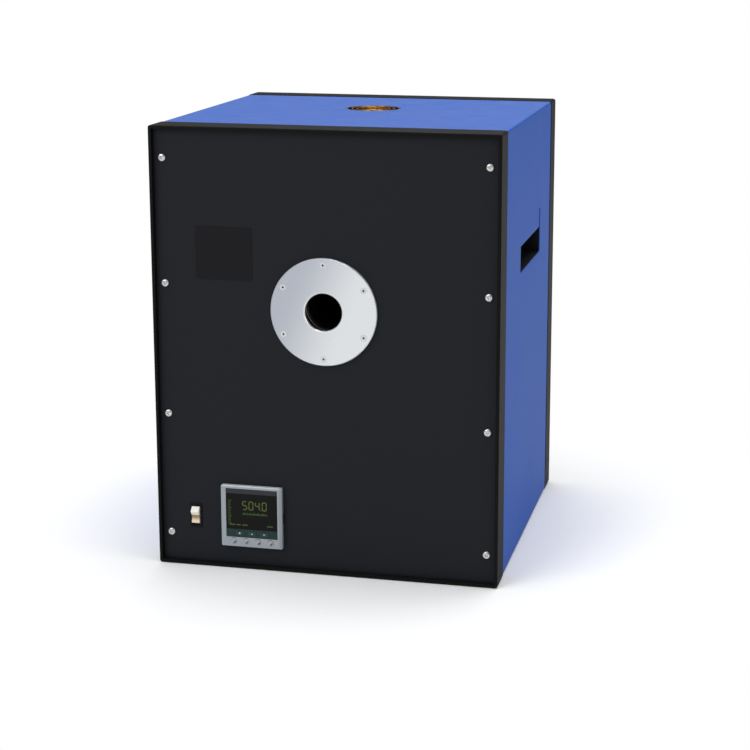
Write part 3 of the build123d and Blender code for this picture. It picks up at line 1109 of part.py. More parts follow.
def key_strip():
    """Thin face plate round the three flat keys."""
    back = BEZEL_FRONT_Y + LENS_RECESS
    low = CONTROLLER_Z - KEY_STRIP_DROP_HEIGHT + LENS_CLEARANCE
    high = CONTROLLER_Z - LENS_DROP_HEIGHT - LENS_CLEARANCE
    face = plate_y(LENS_WIDTH - 2 * LENS_CLEARANCE, high - low, (back - LENS_THICKNESS, back),
                   CONTROLLER_X, (low + high) / 2)
    past = (back - LENS_THICKNESS - OVERCUT, back + OVERCUT)
    return cut_all(face, [strip_key_blank(past, x, z, KEY_CLEARANCE) for x, z in strip_key_places()])


def round_key(place):
    """Round key with a dished face."""
    x, z = place
    front = BEZEL_FRONT_Y - ROUND_KEY_PROUD
    key = rod_y(ROUND_KEY_RADIUS, (front, front + ROUND_KEY_LENGTH), x, z)
    dish_radius = ROUND_KEY_RADIUS * ROUND_KEY_DISH_SHARE
    dish_depth = ROUND_KEY_DISH - math.sqrt(ROUND_KEY_DISH ** 2 - dish_radius ** 2)
    return key - Pos(x, front + dish_depth - ROUND_KEY_DISH, z) * Sphere(ROUND_KEY_DISH)


def strip_key(place):
    front = BEZEL_FRONT_Y + LENS_RECESS - LENS_THICKNESS - STRIP_KEY_PROUD
    return strip_key_blank((front, front + STRIP_KEY_LENGTH), *place)


def controller_gasket():
    outer = CONTROLLER_SIZE - GASKET_THICKNESS
    inner = CONTROLLER_CASE_SIZE + 2 * CONTROLLER_CUTOUT_CLEARANCE
    y = (BEZEL_BACK_Y, PANEL_FRONT_Y)
    ring = plate_y(outer, outer, y, CONTROLLER_X, CONTROLLER_Z, radius=CONTROLLER_CORNER_RADIUS)
    return ring - plate_y(inner, inner, (y[0] - OVERCUT, y[1] + OVERCUT), CONTROLLER_X, CONTROLLER_Z,
                          radius=CONTROLLER_CASE_WALL)


def controller_case():
    """Controller housing behind the panel: a thin-walled box with a clip above and below."""
    y = (BEZEL_BACK_Y, PANEL_BACK_Y + CONTROLLER_CASE_LENGTH)
    size = CONTROLLER_CASE_SIZE
    inside = size - 2 * CONTROLLER_CASE_WALL
    case = plate_y(size, size, y, CONTROLLER_X, CONTROLLER_Z, radius=CONTROLLER_CASE_WALL)
    hollow = (y[0] - OVERCUT, y[1] - CONTROLLER_CASE_WALL)
    case = case - plate_y(inside, inside, hollow, CONTROLLER_X, CONTROLLER_Z)
    clip_x = (CONTROLLER_X - CLIP_WIDTH / 2, CONTROLLER_X + CLIP_WIDTH / 2)
    for side in (-1, 1):
        near = CONTROLLER_Z + side * (size / 2 - CONTROLLER_CASE_WALL / 2)
        case = case + slab(clip_x, (PANEL_BACK_Y, PANEL_BACK_Y + CLIP_LENGTH),
                           sorted((near, near + side * CLIP_HEIGHT)))
        case = case + slab(clip_x, (PANEL_BACK_Y, PANEL_BACK_Y + CLIP_HEIGHT),
                           sorted((near, near + 2 * side * CLIP_HEIGHT)))
    return case


def switch_body():
    """Switch housing with a rim on the panel and an open well for the rocker."""
    rim = plate_y(SWITCH_RIM_WIDTH, SWITCH_RIM_HEIGHT, (PANEL_FRONT_Y - SWITCH_RIM_THICKNESS, PANEL_FRONT_Y),
                  SWITCH_X, SWITCH_Z, radius=SWITCH_RIM_THICKNESS)
    body = plate_y(SWITCH_BODY_WIDTH, SWITCH_BODY_HEIGHT,
                   (PANEL_FRONT_Y - SWITCH_RIM_THICKNESS / 2, PANEL_FRONT_Y + SWITCH_BODY_DEPTH),
                   SWITCH_X, SWITCH_Z)
    well = plate_y(2 * ROCKER_WELL_HALF_WIDTH, 2 * ROCKER_WELL_HALF_HEIGHT,
                   (PANEL_FRONT_Y - SWITCH_RIM_THICKNESS - OVERCUT, PANEL_FRONT_Y + SWITCH_WELL_DEPTH),
                   SWITCH_X, SWITCH_Z)
    pin_hole = Pos(SWITCH_X, PANEL_FRONT_Y, SWITCH_Z) * Rot(0, 90, 0)
    pin_hole = pin_hole * Cylinder(ROCKER_PIN_RADIUS + ROCKER_PIN_CLEARANCE, SWITCH_BODY_WIDTH)
    return (rim + body) - well - pin_hole


def switch_rocker():
    """Rocker with a crest near each end and a hollow between, tilted so that its top stands out."""
    end = ROCKER_HALF_HEIGHT
    crest = end * ROCKER_CREST_SHARE
    profile = Polyline((0, end), (-ROCKER_CREST_PROUD, crest), (-ROCKER_MIDDLE_PROUD, 0),
                       (-ROCKER_CREST_PROUD, -crest), (0, -end), (ROCKER_BACK, -end),
                       (2 * ROCKER_BACK, 0), (ROCKER_BACK, end), close=True)
    yz = Plane(origin=(-ROCKER_WIDTH / 2, 0, 0), x_dir=(0, 1, 0), z_dir=(1, 0, 0))
    rocker = yz * extrude(make_face(profile), amount=ROCKER_WIDTH)
    pin_half = SWITCH_BODY_WIDTH / 2 - SHEET_CLEARANCE
    rocker = rocker + Rot(0, 90, 0) * Cylinder(ROCKER_PIN_RADIUS, 2 * pin_half)
    return Pos(SWITCH_X, PANEL_FRONT_Y, SWITCH_Z) * Rot(ROCKER_TILT, 0, 0) * rocker


def transformer_core():
    """Laminated core with two windows, and angle feet along its front and back."""
    y = (TRANSFORMER_Y - CORE_STACK / 2, TRANSFORMER_Y + CORE_STACK / 2)
    low = PAN_TOP_Z + CORE_BRACKET_THICKNESS
    core = slab((TRANSFORMER_X - CORE_WIDTH / 2, TRANSFORMER_X + CORE_WIDTH / 2), y, (low, low + CORE_HEIGHT))
    yoke = CORE_LIMB / 2
    window_z = (low + yoke, low + CORE_HEIGHT - yoke)
    past = (y[0] - OVERCUT, y[1] + OVERCUT)
    for side in (-1, 1):
        x = sorted((TRANSFORMER_X + side * CORE_LIMB / 2, TRANSFORMER_X + side * (CORE_WIDTH / 2 - yoke)))
        core = core - slab(x, past, window_z)
    foot_x = (TRANSFORMER_X - CORE_WIDTH / 2, TRANSFORMER_X + CORE_WIDTH / 2)
    for side in (-1, 1):
        face = TRANSFORMER_Y + side * CORE_STACK / 2
        under = sorted((face - side * CORE_BRACKET_WIDTH / 2, face + side * CORE_BRACKET_WIDTH))
        upright = sorted((face - side, face + side * CORE_BRACKET_THICKNESS))
        core = core + slab(foot_x, under, (PAN_TOP_Z, low + OVERCUT))
        core = core + slab(foot_x, upright, (PAN_TOP_Z, low + yoke - COIL_CLEARANCE))
    return core


def transformer_coil():
    """Winding round the middle limb of the core."""
    centre = Pos(TRANSFORMER_X, TRANSFORMER_Y,
                 PAN_TOP_Z + CORE_BRACKET_THICKNESS + CORE_HEIGHT / 2)
    height = CORE_HEIGHT - CORE_LIMB - 2 * COIL_CLEARANCE
    width = CORE_LIMB + 2 * COIL_CLEARANCE
    stack = CORE_STACK + 2 * COIL_CLEARANCE
    outer = extrude(RectangleRounded(width + 2 * COIL_BUILD, stack + 2 * COIL_BUILD, COIL_CORNER_RADIUS),
                    amount=height)
    limb = Pos(0, 0, height / 2) * Box(width, stack, height + 2 * OVERCUT)
    return centre * Pos(0, 0, -height / 2) * (outer - limb)


def heatsink():
    """Finned heat sink of the power controller, standing on the base pan."""
    y = HEATSINK_Y
    x = (HEATSINK_X - HEATSINK_WIDTH / 2, HEATSINK_X + HEATSINK_WIDTH / 2)
    z = (PAN_TOP_Z, PAN_TOP_Z + HEATSINK_HEIGHT)
    body = slab(x, (y - HEATSINK_BASE, y), z)
    pitch = (HEATSINK_WIDTH - FIN_THICKNESS) / (FIN_COUNT - 1)
    fin_y = (y - HEATSINK_BASE - FIN_LENGTH, y - HEATSINK_BASE + FUSE_LAP)
    for n in range(FIN_COUNT):
        fin_x = x[0] + pitch * n
        body = body + slab((fin_x, fin_x + FIN_THICKNESS), fin_y, z)
    return body


def power_module():
    y = HEATSINK_Y
    middle = PAN_TOP_Z + HEATSINK_HEIGHT / 2
    box = slab((HEATSINK_X - MODULE_WIDTH / 2, HEATSINK_X + MODULE_WIDTH / 2), (y, y + MODULE_DEPTH),
               (middle - MODULE_HEIGHT / 2, middle + MODULE_HEIGHT / 2))
    return chamfer(box.faces().sort_by(Axis.Y)[-1].edges(), COVER_BEND_RADIUS)


def mains_terminals():
    """Row of screw terminals on the base pan."""
    width = TERMINAL_COUNT * TERMINAL_PITCH
    y = TERMINAL_Y
    block = slab((TERMINAL_X - width / 2, TERMINAL_X + width / 2), (y, y + TERMINAL_DEPTH),
                 (PAN_TOP_Z, PAN_TOP_Z + TERMINAL_HEIGHT))
    cuts = []
    for n in range(TERMINAL_COUNT):
        x = TERMINAL_X - width / 2 + TERMINAL_PITCH * (n + 0.5)
        half = TERMINAL_MOUTH_WIDTH / 2
        cuts.append(slab((x - half, x + half), (y - OVERCUT, y + TERMINAL_MOUTH_DEPTH),
                         (PAN_TOP_Z + TERMINAL_MOUTH_HEIGHT, PAN_TOP_Z + TERMINAL_HEIGHT + OVERCUT)))
    return cut_all(block, cuts)


def power_inlet():
    """Mains inlet: flanged moulding with a pocket open to the back."""
    out = REAR_PANEL_OUT_Y
    mouth = out + INLET_FLANGE_THICKNESS
    flange = plate_y(INLET_FLANGE_WIDTH, INLET_FLANGE_HEIGHT, (out, mouth), INLET_X, INLET_Z,
                     radius=INLET_FLANGE_THICKNESS)
    body = plate_y(INLET_BODY_WIDTH, INLET_BODY_HEIGHT, (out - INLET_BODY_DEPTH, out + FUSE_LAP),
                   INLET_X, INLET_Z)
    pocket = plate_y(INLET_POCKET_WIDTH, INLET_POCKET_HEIGHT, (mouth - INLET_POCKET_DEPTH, mouth + OVERCUT),
                     INLET_X, INLET_Z, radius=INLET_FLANGE_THICKNESS)
    past = (out - OVERCUT, out + INLET_FLANGE_THICKNESS + OVERCUT)
    holes = [rod_y(INLET_SCREW_RADIUS + SCREW_CLEARANCE, past, INLET_X + x, INLET_Z)
             for x in (-INLET_SCREW_SPACING / 2, INLET_SCREW_SPACING / 2)]
    return cut_all(flange + body, [pocket] + holes)


def inlet_pins():
    """Three flat contacts that stand up from the floor of the inlet's pocket."""
    floor = REAR_PANEL_OUT_Y + INLET_FLANGE_THICKNESS - INLET_POCKET_DEPTH
    y = (floor, floor + INLET_PIN_LENGTH)
    pins = [plate_y(INLET_PIN_WIDTH, INLET_PIN_HEIGHT, y, INLET_X + x, INLET_Z - INLET_PIN_DROP)
            for x in (-INLET_PIN_SPACING / 2, INLET_PIN_SPACING / 2)]
    pins.append(plate_y(INLET_PIN_WIDTH, INLET_EARTH_HEIGHT, y, INLET_X, INLET_Z + INLET_EARTH_RISE))
    return pins


def inlet_screws():
    screw = pan_head_screw(INLET_SCREW_RADIUS, INLET_SCREW_LENGTH, INLET_SCREW_HEAD_RADIUS,
                           INLET_SCREW_HEAD_HEIGHT)
    y = REAR_PANEL_OUT_Y + INLET_FLANGE_THICKNESS
    return [Pos(INLET_X + x, y, INLET_Z) * Rot(0, 0, 180) * screw
            for x in (-INLET_SCREW_SPACING / 2, INLET_SCREW_SPACING / 2)]


def data_port():
    """Nine-way data connector: D-shaped shell and two hexagonal posts on a thin flange."""
    out = REAR_PANEL_OUT_Y
    slope = PORT_SHELL_HEIGHT * math.tan(math.radians(PORT_SHELL_SLOPE)) / 2
    half = PORT_SHELL_WIDTH / 2
    top = PORT_SHELL_HEIGHT / 2
    shell_face = make_face(Polyline((-half - slope, top), (half + slope, top), (half - slope, -top),
                                    (slope - half, -top), close=True))
    shell_face = fillet(shell_face.vertices(), PORT_SHELL_ROUND)
    shell = Pos(PORT_X, out + PORT_PROUD, PORT_Z) * Rot(90, 0, 0) * extrude(shell_face, amount=PORT_PROUD)
    flange = plate_y(PORT_FLANGE_WIDTH, PORT_FLANGE_HEIGHT, (out, out + PORT_FLANGE_THICKNESS),
                     PORT_X, PORT_Z, radius=PORT_FLANGE_THICKNESS)
    body = plate_y(PORT_SHELL_WIDTH, PORT_SHELL_HEIGHT, (out - PORT_BODY_DEPTH, out + FUSE_LAP),
                   PORT_X, PORT_Z)
    post = extrude(RegularPolygon(PORT_SCREW_RADIUS, 6), amount=PORT_PROUD)
    posts = [Pos(PORT_X + x, out + PORT_PROUD, PORT_Z) * Rot(90, 0, 0) * post
             for x in (-PORT_SCREW_SPACING / 2, PORT_SCREW_SPACING / 2)]
    studs = [rod_y(PORT_SCREW_RADIUS / 2, (REAR_PANEL_IN_Y, out + OVERCUT), PORT_X + x, PORT_Z)
             for x in (-PORT_SCREW_SPACING / 2, PORT_SCREW_SPACING / 2)]
    return solid_sum([shell, flange, body] + posts + studs)


def all_nodes():
    """Every node of the assembly with its shape: one solid, or a list of separate solids."""
    right_pocket = handle_pocket()
    right_grip = handle_grip()
    nodes = {
        "front_frame": front_frame(), "rear_frame": rear_frame(), "tie_rails": tie_rails(),
        "cover": cover(), "cover_screws": cover_screws(), "base_pan": base_pan(),
        "front_panel": front_panel(), "front_panel_screws": front_panel_screws(),
        "rear_panel": rear_panel(), "rear_panel_screws": rear_panel_screws(),
        "blank_plate": blank_plate(),
        "handle_pockets": [right_pocket, mirrored_x(right_pocket)],
        "handle_grips": [right_grip, mirrored_x(right_grip)],
        "aperture_plate": aperture_plate(), "aperture_screws": aperture_screws(),
        "throat_ring": throat_ring(), "throat_liner": throat_liner(), "cavity_tube": cavity_tube(),
        "front_insulation": front_insulation(), "rear_insulation": rear_insulation(),
        "side_insulation": side_insulation(), "floor_insulation": floor_insulation(),
        "roof_insulation": roof_insulation(), "chamber_shell": chamber_shell(),
        "shell_lid": shell_lid(), "shell_legs": shell_legs(),
        "heating_elements": heating_elements(), "element_holders": element_holders(),
        "element_clamps": element_clamps(), "bus_bars": element_straps() + power_leads(),
        "control_thermocouple": control_thermocouple(), "limit_thermocouple": limit_thermocouple(),
        "fan_frame": fan_frame(), "fan_rotor": fan_rotor(), "fan_screws": fan_screws(),
        "vent_guard": vent_guard(),
        "controller_bezel": controller_bezel(), "controller_latches": controller_latches(),
        "controller_gasket": controller_gasket(), "controller_case": controller_case(),
        "display_lens": display_lens(), "key_strip": key_strip(),
        "switch_body": switch_body(), "switch_rocker": switch_rocker(),
        "transformer_core": transformer_core(), "transformer_coil": transformer_coil(),
        "heatsink": heatsink(), "power_module": power_module(), "mains_terminals": mains_terminals(),
        "power_inlet": power_inlet(), "inlet_pins": inlet_pins(), "inlet_screws": inlet_screws(),
        "data_port": data_port(),
    }
    for name, place in zip(("page_key", "scroll_key", "lower_key", "raise_key"), round_key_places()):
        nodes[name] = round_key(place)
    for name, place in zip(("mode_key", "program_key", "run_key"), strip_key_places()):
        nodes[name] = strip_key(place)
    return nodes


os.makedirs("parts", exist_ok=True)
for node, shape in all_nodes().items():
    if isinstance(shape, list):
        shape = Compound([solid for piece in shape for solid in piece.solids()])
    export_step(shape, os.path.join("parts", node + ".step"))
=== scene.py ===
import math
import random

import bmesh
import bpy
from mathutils import Matrix, Vector


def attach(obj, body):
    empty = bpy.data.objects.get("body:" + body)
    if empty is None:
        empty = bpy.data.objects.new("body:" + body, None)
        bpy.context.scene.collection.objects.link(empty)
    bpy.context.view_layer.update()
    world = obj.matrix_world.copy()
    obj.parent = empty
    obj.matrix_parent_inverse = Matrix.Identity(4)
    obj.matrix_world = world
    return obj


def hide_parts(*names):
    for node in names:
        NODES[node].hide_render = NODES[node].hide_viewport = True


# Blackbody calibration furnace: studio picture, procedural finishes and the fine pieces
# that the CAD frame leaves plain. Metres, +Z up, the aperture faces -Y.

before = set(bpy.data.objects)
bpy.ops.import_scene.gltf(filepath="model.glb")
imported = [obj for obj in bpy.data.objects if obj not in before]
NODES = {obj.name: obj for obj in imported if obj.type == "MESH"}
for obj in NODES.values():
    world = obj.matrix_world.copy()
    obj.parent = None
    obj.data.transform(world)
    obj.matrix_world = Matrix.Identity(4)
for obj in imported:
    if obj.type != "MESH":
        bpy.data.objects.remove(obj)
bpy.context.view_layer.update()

# Camera in the part's frame: solved from the photograph with the part's sizes held, and with a
# lens shift that was chosen smaller than the photograph's, so that other views keep the part
CAMERA_PLACE = (0.677, -2.726, 0.961)
CAMERA_YAW = -12.37
CAMERA_PITCH = 11.78
CAMERA_ROLL = 0.09
CAMERA_LENS = 86.04
CAMERA_SHIFT = (-0.0533, -0.1067)
SENSOR = 36.0

# Places on the front that the small pieces and the finishes follow
FRONT_Y = -0.266
PANEL_Y = FRONT_Y + 0.0085
LENS_Y = FRONT_Y + 0.0013
STRIP_KEY_Y = FRONT_Y + 0.00078
DISC_Y = FRONT_Y + 0.0025
CONTROLLER_X, CONTROLLER_Z = -0.114, 0.082
APERTURE_Z = 0.4025
SWITCH_Z = 0.0765
SCREW_X = 0.244
SCREW_HEIGHTS = (0.048, 0.235, 0.435, 0.622)

# Bands of the bezel's painted highlight and painted shade, and of the window's grey top band: along x and z
# from the controller's middle
BEZEL_HIGHLIGHT_BAND = (0.0455, 0.0478)
BEZEL_SHADE_BAND = (0.0405, 0.0455)
WINDOW_TOP_BAND = (0.0355, 0.0362)

# Up from the rocker's middle: where its painted highlight starts and where its painted shade runs
ROCKER_HIGHLIGHT_BAND = (0.0005, 0.0030)
ROCKER_SHADE_BAND = (-0.0085, -0.0015)

# Out from the middle of the disc, slantwise across its face for its painted light, and back into its screw
# sockets for their painted shade
DISC_LIP_BAND = (0.0292, 0.0315)
DISC_RIM_BAND = (0.0788, 0.0797)
DISC_LIGHT_SWEEP_BAND = (-0.07, 0.05)
SOCKET_SHADE_BAND = (0.0001, 0.0006)

# Back into the aperture: the sleeve from the panel, the tube's lip from the front plane
SLEEVE_LENGTH = 0.042
TUBE_LIP_BAND = (0.0505, 0.0545)

# Transformer, per metre
LEAVES_PER_METRE = 2000.0
TURNS_PER_METRE = 300.0

# Floor: half its width, its level, and where it runs out into white
FLOOR_HALF = 6.0
FLOOR_Z = -0.0005
FLOOR_FADE_BAND = (0.36, 0.8)

# Display marks lie this far in front of the window
MARK_LIFT = 0.00004
MARK_THICKNESS = 0.00003

# Reading, as places from the controller's middle and sizes of its digits
READING = "5040"
READING_X, READING_Z = -0.0147, 0.0105
DIGIT_WIDTH = 0.0078
DIGIT_HEIGHT = 0.0142
DIGIT_STROKE = 0.0017
DIGIT_PITCH = 0.0100
LAST_DIGIT_SHIFT = 0.0008
DIGIT_BEFORE_POINT = 2
BAR_GAP_SHARE = 0.12
POINT_GAP = 0.0009
POINT_SIZE = 0.0013

# Second line of the display: short strokes between two ends
SECOND_LINE_ENDS = (-0.0145, 0.0225)
SECOND_LINE_Z = 0.0030
STROKE_LENGTHS = (0.0011, 0.0026)
STROKE_HEIGHTS = (0.0022, 0.0034)
STROKE_GAP = 0.0009
STROKE_SEED = 4

# Small words at the foot of the display, each as one bar
FOOT_Z = -0.0142
FOOT_HEIGHT = 0.0020
FOOT_BARS = ((-0.0350, -0.0262), (-0.0240, -0.0175), (-0.0148, -0.0065), (0.0240, 0.0330))

# Bar graph down the left of the display
GRAPH_ROWS = 16
GRAPH_LEFT = -0.0372
GRAPH_FOOT = -0.0120
GRAPH_PITCH = 0.0024
GRAPH_BAR = 0.0012
GRAPH_SHORT = 0.0042
GRAPH_LONG = 0.0058
GRAPH_LONG_EVERY = 5

# Print on the strip keys
KEY_ROW_Z = -0.0265
KEY_PITCH = 0.0192
KEY_SQUARE_HALF = 0.0011
KEY_TRIANGLE = ((-0.0012, -0.0010), (0.0012, -0.0010), (0.0, 0.0012))
KEY_BAR_HALF = (0.0014, 0.0005)

# Pan head, as (radius, y) from its crown to its underside, and its cross recess
HEAD_PROFILE = ((0.0022, -0.00318), (0.0036, -0.00305), (0.0047, -0.00265), (0.0054, -0.00195),
                (0.0058, -0.00110), (0.0059, -0.00035), (0.0057, -0.00005))
HEAD_CROWN = 0.00002
HEAD_SIDES = 48
CROSS_TOP_HALF = 0.0031
CROSS_BOTTOM_HALF = 0.0016
CROSS_HALF_WIDTH = 0.00062
CROSS_TOP_Y = -0.0040
CROSS_BOTTOM_Y = -0.0015
FRONT_TURNS_SEED = 3
REAR_TURNS_SEED = 8

# Lights: name, place, what it points at, sides of its rectangle, watts
LIGHTS = (
    ("key", (-1.6, -2.6, 2.6), (0.0, 0.0, 0.35), (2.2, 2.2), 60.0),
    ("side", (2.9, -0.6, 1.5), (0.0, 0.0, 0.35), (1.8, 1.8), 14.0),
    ("top", (0.2, 0.4, 3.2), (0.0, 0.0, 0.6), (2.6, 2.6), 80.0),
)

# World: colour and strength to the camera, and as a light
WORLD_SEEN = ((1.0, 1.0, 1.0, 1.0), 1.0)
WORLD_LIT = ((0.95, 0.97, 1.0, 1.0), 0.42)


def linear(red, green, blue):
    """Scene colour for a picture colour given in 0 to 255 steps."""
    def one(step):
        share = step / 255
        return share / 12.92 if share <= 0.04045 else ((share + 0.055) / 1.055) ** 2.4
    return (one(red), one(green), one(blue), 1.0)


class Value:
    """A shader output that takes plus, minus, times and powers."""

    def __init__(self, paint, socket):
        self.paint = paint
        self.socket = socket

    def _combine(self, operation, left, right):
        return self.paint.math(operation, left, right)

    def __add__(self, other):
        return self._combine("ADD", self, other)

    def __radd__(self, other):
        return self._combine("ADD", other, self)

    def __sub__(self, other):
        return self._combine("SUBTRACT", self, other)

    def __rsub__(self, other):
        return self._combine("SUBTRACT", other, self)

    def __mul__(self, other):
        return self._combine("MULTIPLY", self, other)

    def __pow__(self, other):
        return self._combine("POWER", self, other)


class Made:
    """A node that has just been added, with its outputs as values."""

    def __init__(self, paint, node):
        self.paint = paint
        self.node = node

    def value(self, key):
        return Value(self.paint, self.node.outputs[key])


class Paint:
    """Builds one material on a Principled shader."""

    def __init__(self, name, **fixed):
        self.material = bpy.data.materials.new(name)
        self.material.use_nodes = True
        self.tree = self.material.node_tree
        self.shader = self.tree.nodes["Principled BSDF"]
        for label, number in fixed.items():
            self.shader.inputs[label.replace("_", " ")].default_value = number

    def node(self, kind, settings, inputs):
        """Add any node, set its properties, and feed its inputs with values or constants."""
        node = self.tree.nodes.new(kind)
        for name, setting in settings.items():
            setattr(node, name, setting)
        for key, value in inputs.items():
            self.feed(node.inputs[key], value)
        return Made(self, node)

    def feed(self, socket, value):
        if isinstance(value, Value):
            self.tree.links.new(value.socket, socket)
        else:
            socket.default_value = value

    def math(self, operation, *inputs):
        return self.node("ShaderNodeMath", {"operation": operation}, dict(enumerate(inputs))).value(0)

    def set(self, **inputs):
        for label, value in inputs.items():
            self.feed(self.shader.inputs[label.replace("_", " ")], value)

    def place(self):
        return self.node("ShaderNodeTexCoord", {}, {}).value("Object")

    def axes(self):
        split = self.node("ShaderNodeSeparateXYZ", {}, {0: self.place()})
        return split.value(0), split.value(1), split.value(2)

    def point(self, x, y, z):
        return self.node("ShaderNodeCombineXYZ", {}, {0: x, 1: y, 2: z}).value(0)

    def noise(self, scale, detail=2.0, roughness=0.5, stretch=(1.0, 1.0, 1.0), at=None):
        """Noise between 0 and 1, finer along an axis whose stretch is larger."""
        where = self.place() if at is None else at
        mapped = self.node("ShaderNodeMapping", {}, {0: where, 3: stretch}).value(0)
        return self.node("ShaderNodeTexNoise", {}, {"Vector": mapped, "Scale": scale, "Detail": detail,
                                                    "Roughness": roughness}).value(0)

    def cells(self, scale):
        return self.node("ShaderNodeTexVoronoi", {}, {"Vector": self.place(), "Scale": scale}).value(0)

    def ramp(self, value, low, high, start=0.0, end=1.0):
        """Value carried smoothly from one range to another, and held at the ends."""
        return self.node("ShaderNodeMapRange", {"interpolation_type": "SMOOTHSTEP"},
                         {0: value, 1: low, 2: high, 3: start, 4: end}).value(0)

    def mix(self, share, first, second):
        """Colour between two colours."""
        return self.node("ShaderNodeMix", {"data_type": "RGBA"}, {0: share, 6: first, 7: second}).value(2)

    def tint(self, colour, amount):
        """Colour times a number."""
        grey = self.point(amount, amount, amount)
        return self.node("ShaderNodeMix", {"data_type": "RGBA", "blend_type": "MULTIPLY"},
                         {0: 1.0, 6: colour, 7: grey}).value(2)

    def bump(self, height, distance):
        return self.node("ShaderNodeBump", {}, {"Strength": 1.0, "Distance": distance,
                                                "Height": height}).value(0)

    def facing_up(self):
        """1 where the surface looks up and 0 where it looks sideways or down."""
        normal = self.node("ShaderNodeNewGeometry", {}, {}).value("Normal")
        height = self.node("ShaderNodeSeparateXYZ", {}, {0: normal}).value(2)
        return self.ramp(height, 0.6, 1.0)


def powder_coat(name, colour, rough=0.45, peel=0.00006, dust_and_sheen=0.04, gloss=0.35):
    """Baked powder coat: orange peel, slight unevenness, and a whitening of what faces up that is part
    dusting and part painted sheen.
    """
    paint = Paint(name, Specular_IOR_Level=gloss)
    cloud = paint.noise(6.0, 3.0)
    grain = paint.noise(1400.0, 2.0)
    base = paint.tint(colour, 0.975 + cloud * 0.05)
    specks = paint.ramp(paint.noise(900.0, 1.0), 0.62, 0.75)
    # Whitening of faces that look up: part settled dusting, part painted sheen on the lit top
    drift = paint.facing_up() * (0.3 + paint.noise(35.0, 4.0) * 0.7) * dust_and_sheen
    settled_dust_and_sheen = drift + specks * paint.facing_up() * dust_and_sheen
    paint.set(Base_Color=paint.mix(settled_dust_and_sheen, base, linear(190, 190, 188)),
              Roughness=rough + (cloud - 0.5) * 0.08 + grain * 0.05 + settled_dust_and_sheen * 0.3,
              Normal=paint.bump(paint.noise(420.0, 2.0) + grain * 0.3, peel))
    return paint.material


def bezel_plastic(name):
    """Silver-grey moulded frame with a painted highlight along its top and painted shade down its right
    side.
    """
    paint = Paint(name, Specular_IOR_Level=0.5)
    x, _, z = paint.axes()
    # Painted highlight along the top and painted shade down the right side
    top = paint.ramp(z - CONTROLLER_Z, *BEZEL_HIGHLIGHT_BAND)
    right = paint.ramp(x - CONTROLLER_X, *BEZEL_SHADE_BAND)
    fine = paint.noise(2600.0, 3.0)
    streak = paint.noise(260.0, 3.0, 0.6)
    colour = paint.mix(top, linear(150, 158, 164), linear(196, 204, 206))
    colour = paint.mix(right * 0.55, colour, linear(112, 120, 126))
    paint.set(Base_Color=paint.tint(colour, 0.9 + streak * 0.2), Metallic=0.2,
              Roughness=0.34 + (fine - 0.5) * 0.12, Normal=paint.bump(fine, 0.00002))
    return paint.material


def moulded(name, colour, rough=0.5, grain=0.00003, gloss=0.4):
    """Moulded plastic with a fine spark-eroded grain."""
    paint = Paint(name, Specular_IOR_Level=gloss)
    fine = paint.noise(2600.0, 3.0)
    wide = paint.noise(40.0, 2.0)
    paint.set(Base_Color=paint.tint(colour, 0.96 + wide * 0.08),
              Roughness=rough + (fine - 0.5) * 0.12 + (wide - 0.5) * 0.06,
              Normal=paint.bump(fine, grain))
    return paint.material


def sheet_metal(name, colour, rough=0.38, along=(1.0, 1.0, 1.0)):
    """Bare or plated sheet with a rolling grain, faint clouds and handling marks."""
    paint = Paint(name)
    grain = paint.noise(900.0, 3.0, 0.6, along)
    cloud = paint.noise(14.0, 4.0)
    marks = paint.ramp(paint.noise(90.0, 6.0, 0.7), 0.55, 0.8)
    paint.set(Base_Color=paint.tint(colour, 0.92 + cloud * 0.1 + grain * 0.06),
              Metallic=1.0 - marks * 0.04,
              Roughness=rough + (grain - 0.5) * 0.16 + marks * 0.12,
              Normal=paint.bump(grain + cloud * 0.5, 0.00002))
    return paint.material


def turned_plate(name):
    """Aluminium disc: faced on a lathe, then bead blasted, with a polished lip round the hole and painted
    light across it, darker to the upper left.
    """
    paint = Paint(name)
    x, _, z = paint.axes()
    up = z - APERTURE_Z
    radius = (x * x + up * up) ** 0.5
    rings = paint.noise(1.0, 2.0, 0.6, at=paint.point(radius * 2600.0, 0.0, 0.0))
    beads = paint.noise(1900.0, 3.0)
    specks = paint.noise(520.0, 4.0, 0.7)
    # Painted light across the face: painted shade towards the upper left, lighter towards the lower right
    light_sweep = paint.ramp(x - up * 0.4, *DISC_LIGHT_SWEEP_BAND)
    lip = paint.ramp(radius, *DISC_LIP_BAND, 1.0, 0.0)
    rim = paint.ramp(radius, *DISC_RIM_BAND)
    colour = paint.mix(light_sweep, linear(184, 188, 198), linear(228, 231, 232))
    colour = paint.mix(lip * 0.75, colour, linear(235, 236, 238))
    colour = paint.mix(rim * 0.5, colour, linear(228, 229, 231))
    paint.set(Base_Color=paint.tint(colour, 0.86 + beads * 0.08 + (rings - 0.5) * 0.08 + specks * 0.18),
              Metallic=0.55 + lip * 0.3,
              Roughness=0.5 + (beads - 0.5) * 0.14 - lip * 0.22 - rim * 0.12,
              Normal=paint.bump(beads + rings * 0.4, 0.00002))
    return paint.material


def fibre_board(name, colour, hot=0.0):
    """Vacuum-formed fibre: short matted strands, scorched towards the hot side."""
    paint = Paint(name, Specular_IOR_Level=0.15, Sheen_Weight=0.15, Sheen_Roughness=0.7)
    strands = paint.noise(420.0, 6.0, 0.75, (1.0, 3.0, 1.0))
    lumps = paint.noise(60.0, 4.0)
    scorch = paint.ramp(paint.noise(12.0, 3.0), 0.45, 0.8) * hot
    base = paint.mix(scorch, colour, linear(176, 150, 112))
    paint.set(Base_Color=paint.tint(base, 0.88 + strands * 0.14 + lumps * 0.06),
              Roughness=0.9 - strands * 0.08,
              Normal=paint.bump(strands + lumps * 0.6, 0.0004))
    return paint.material


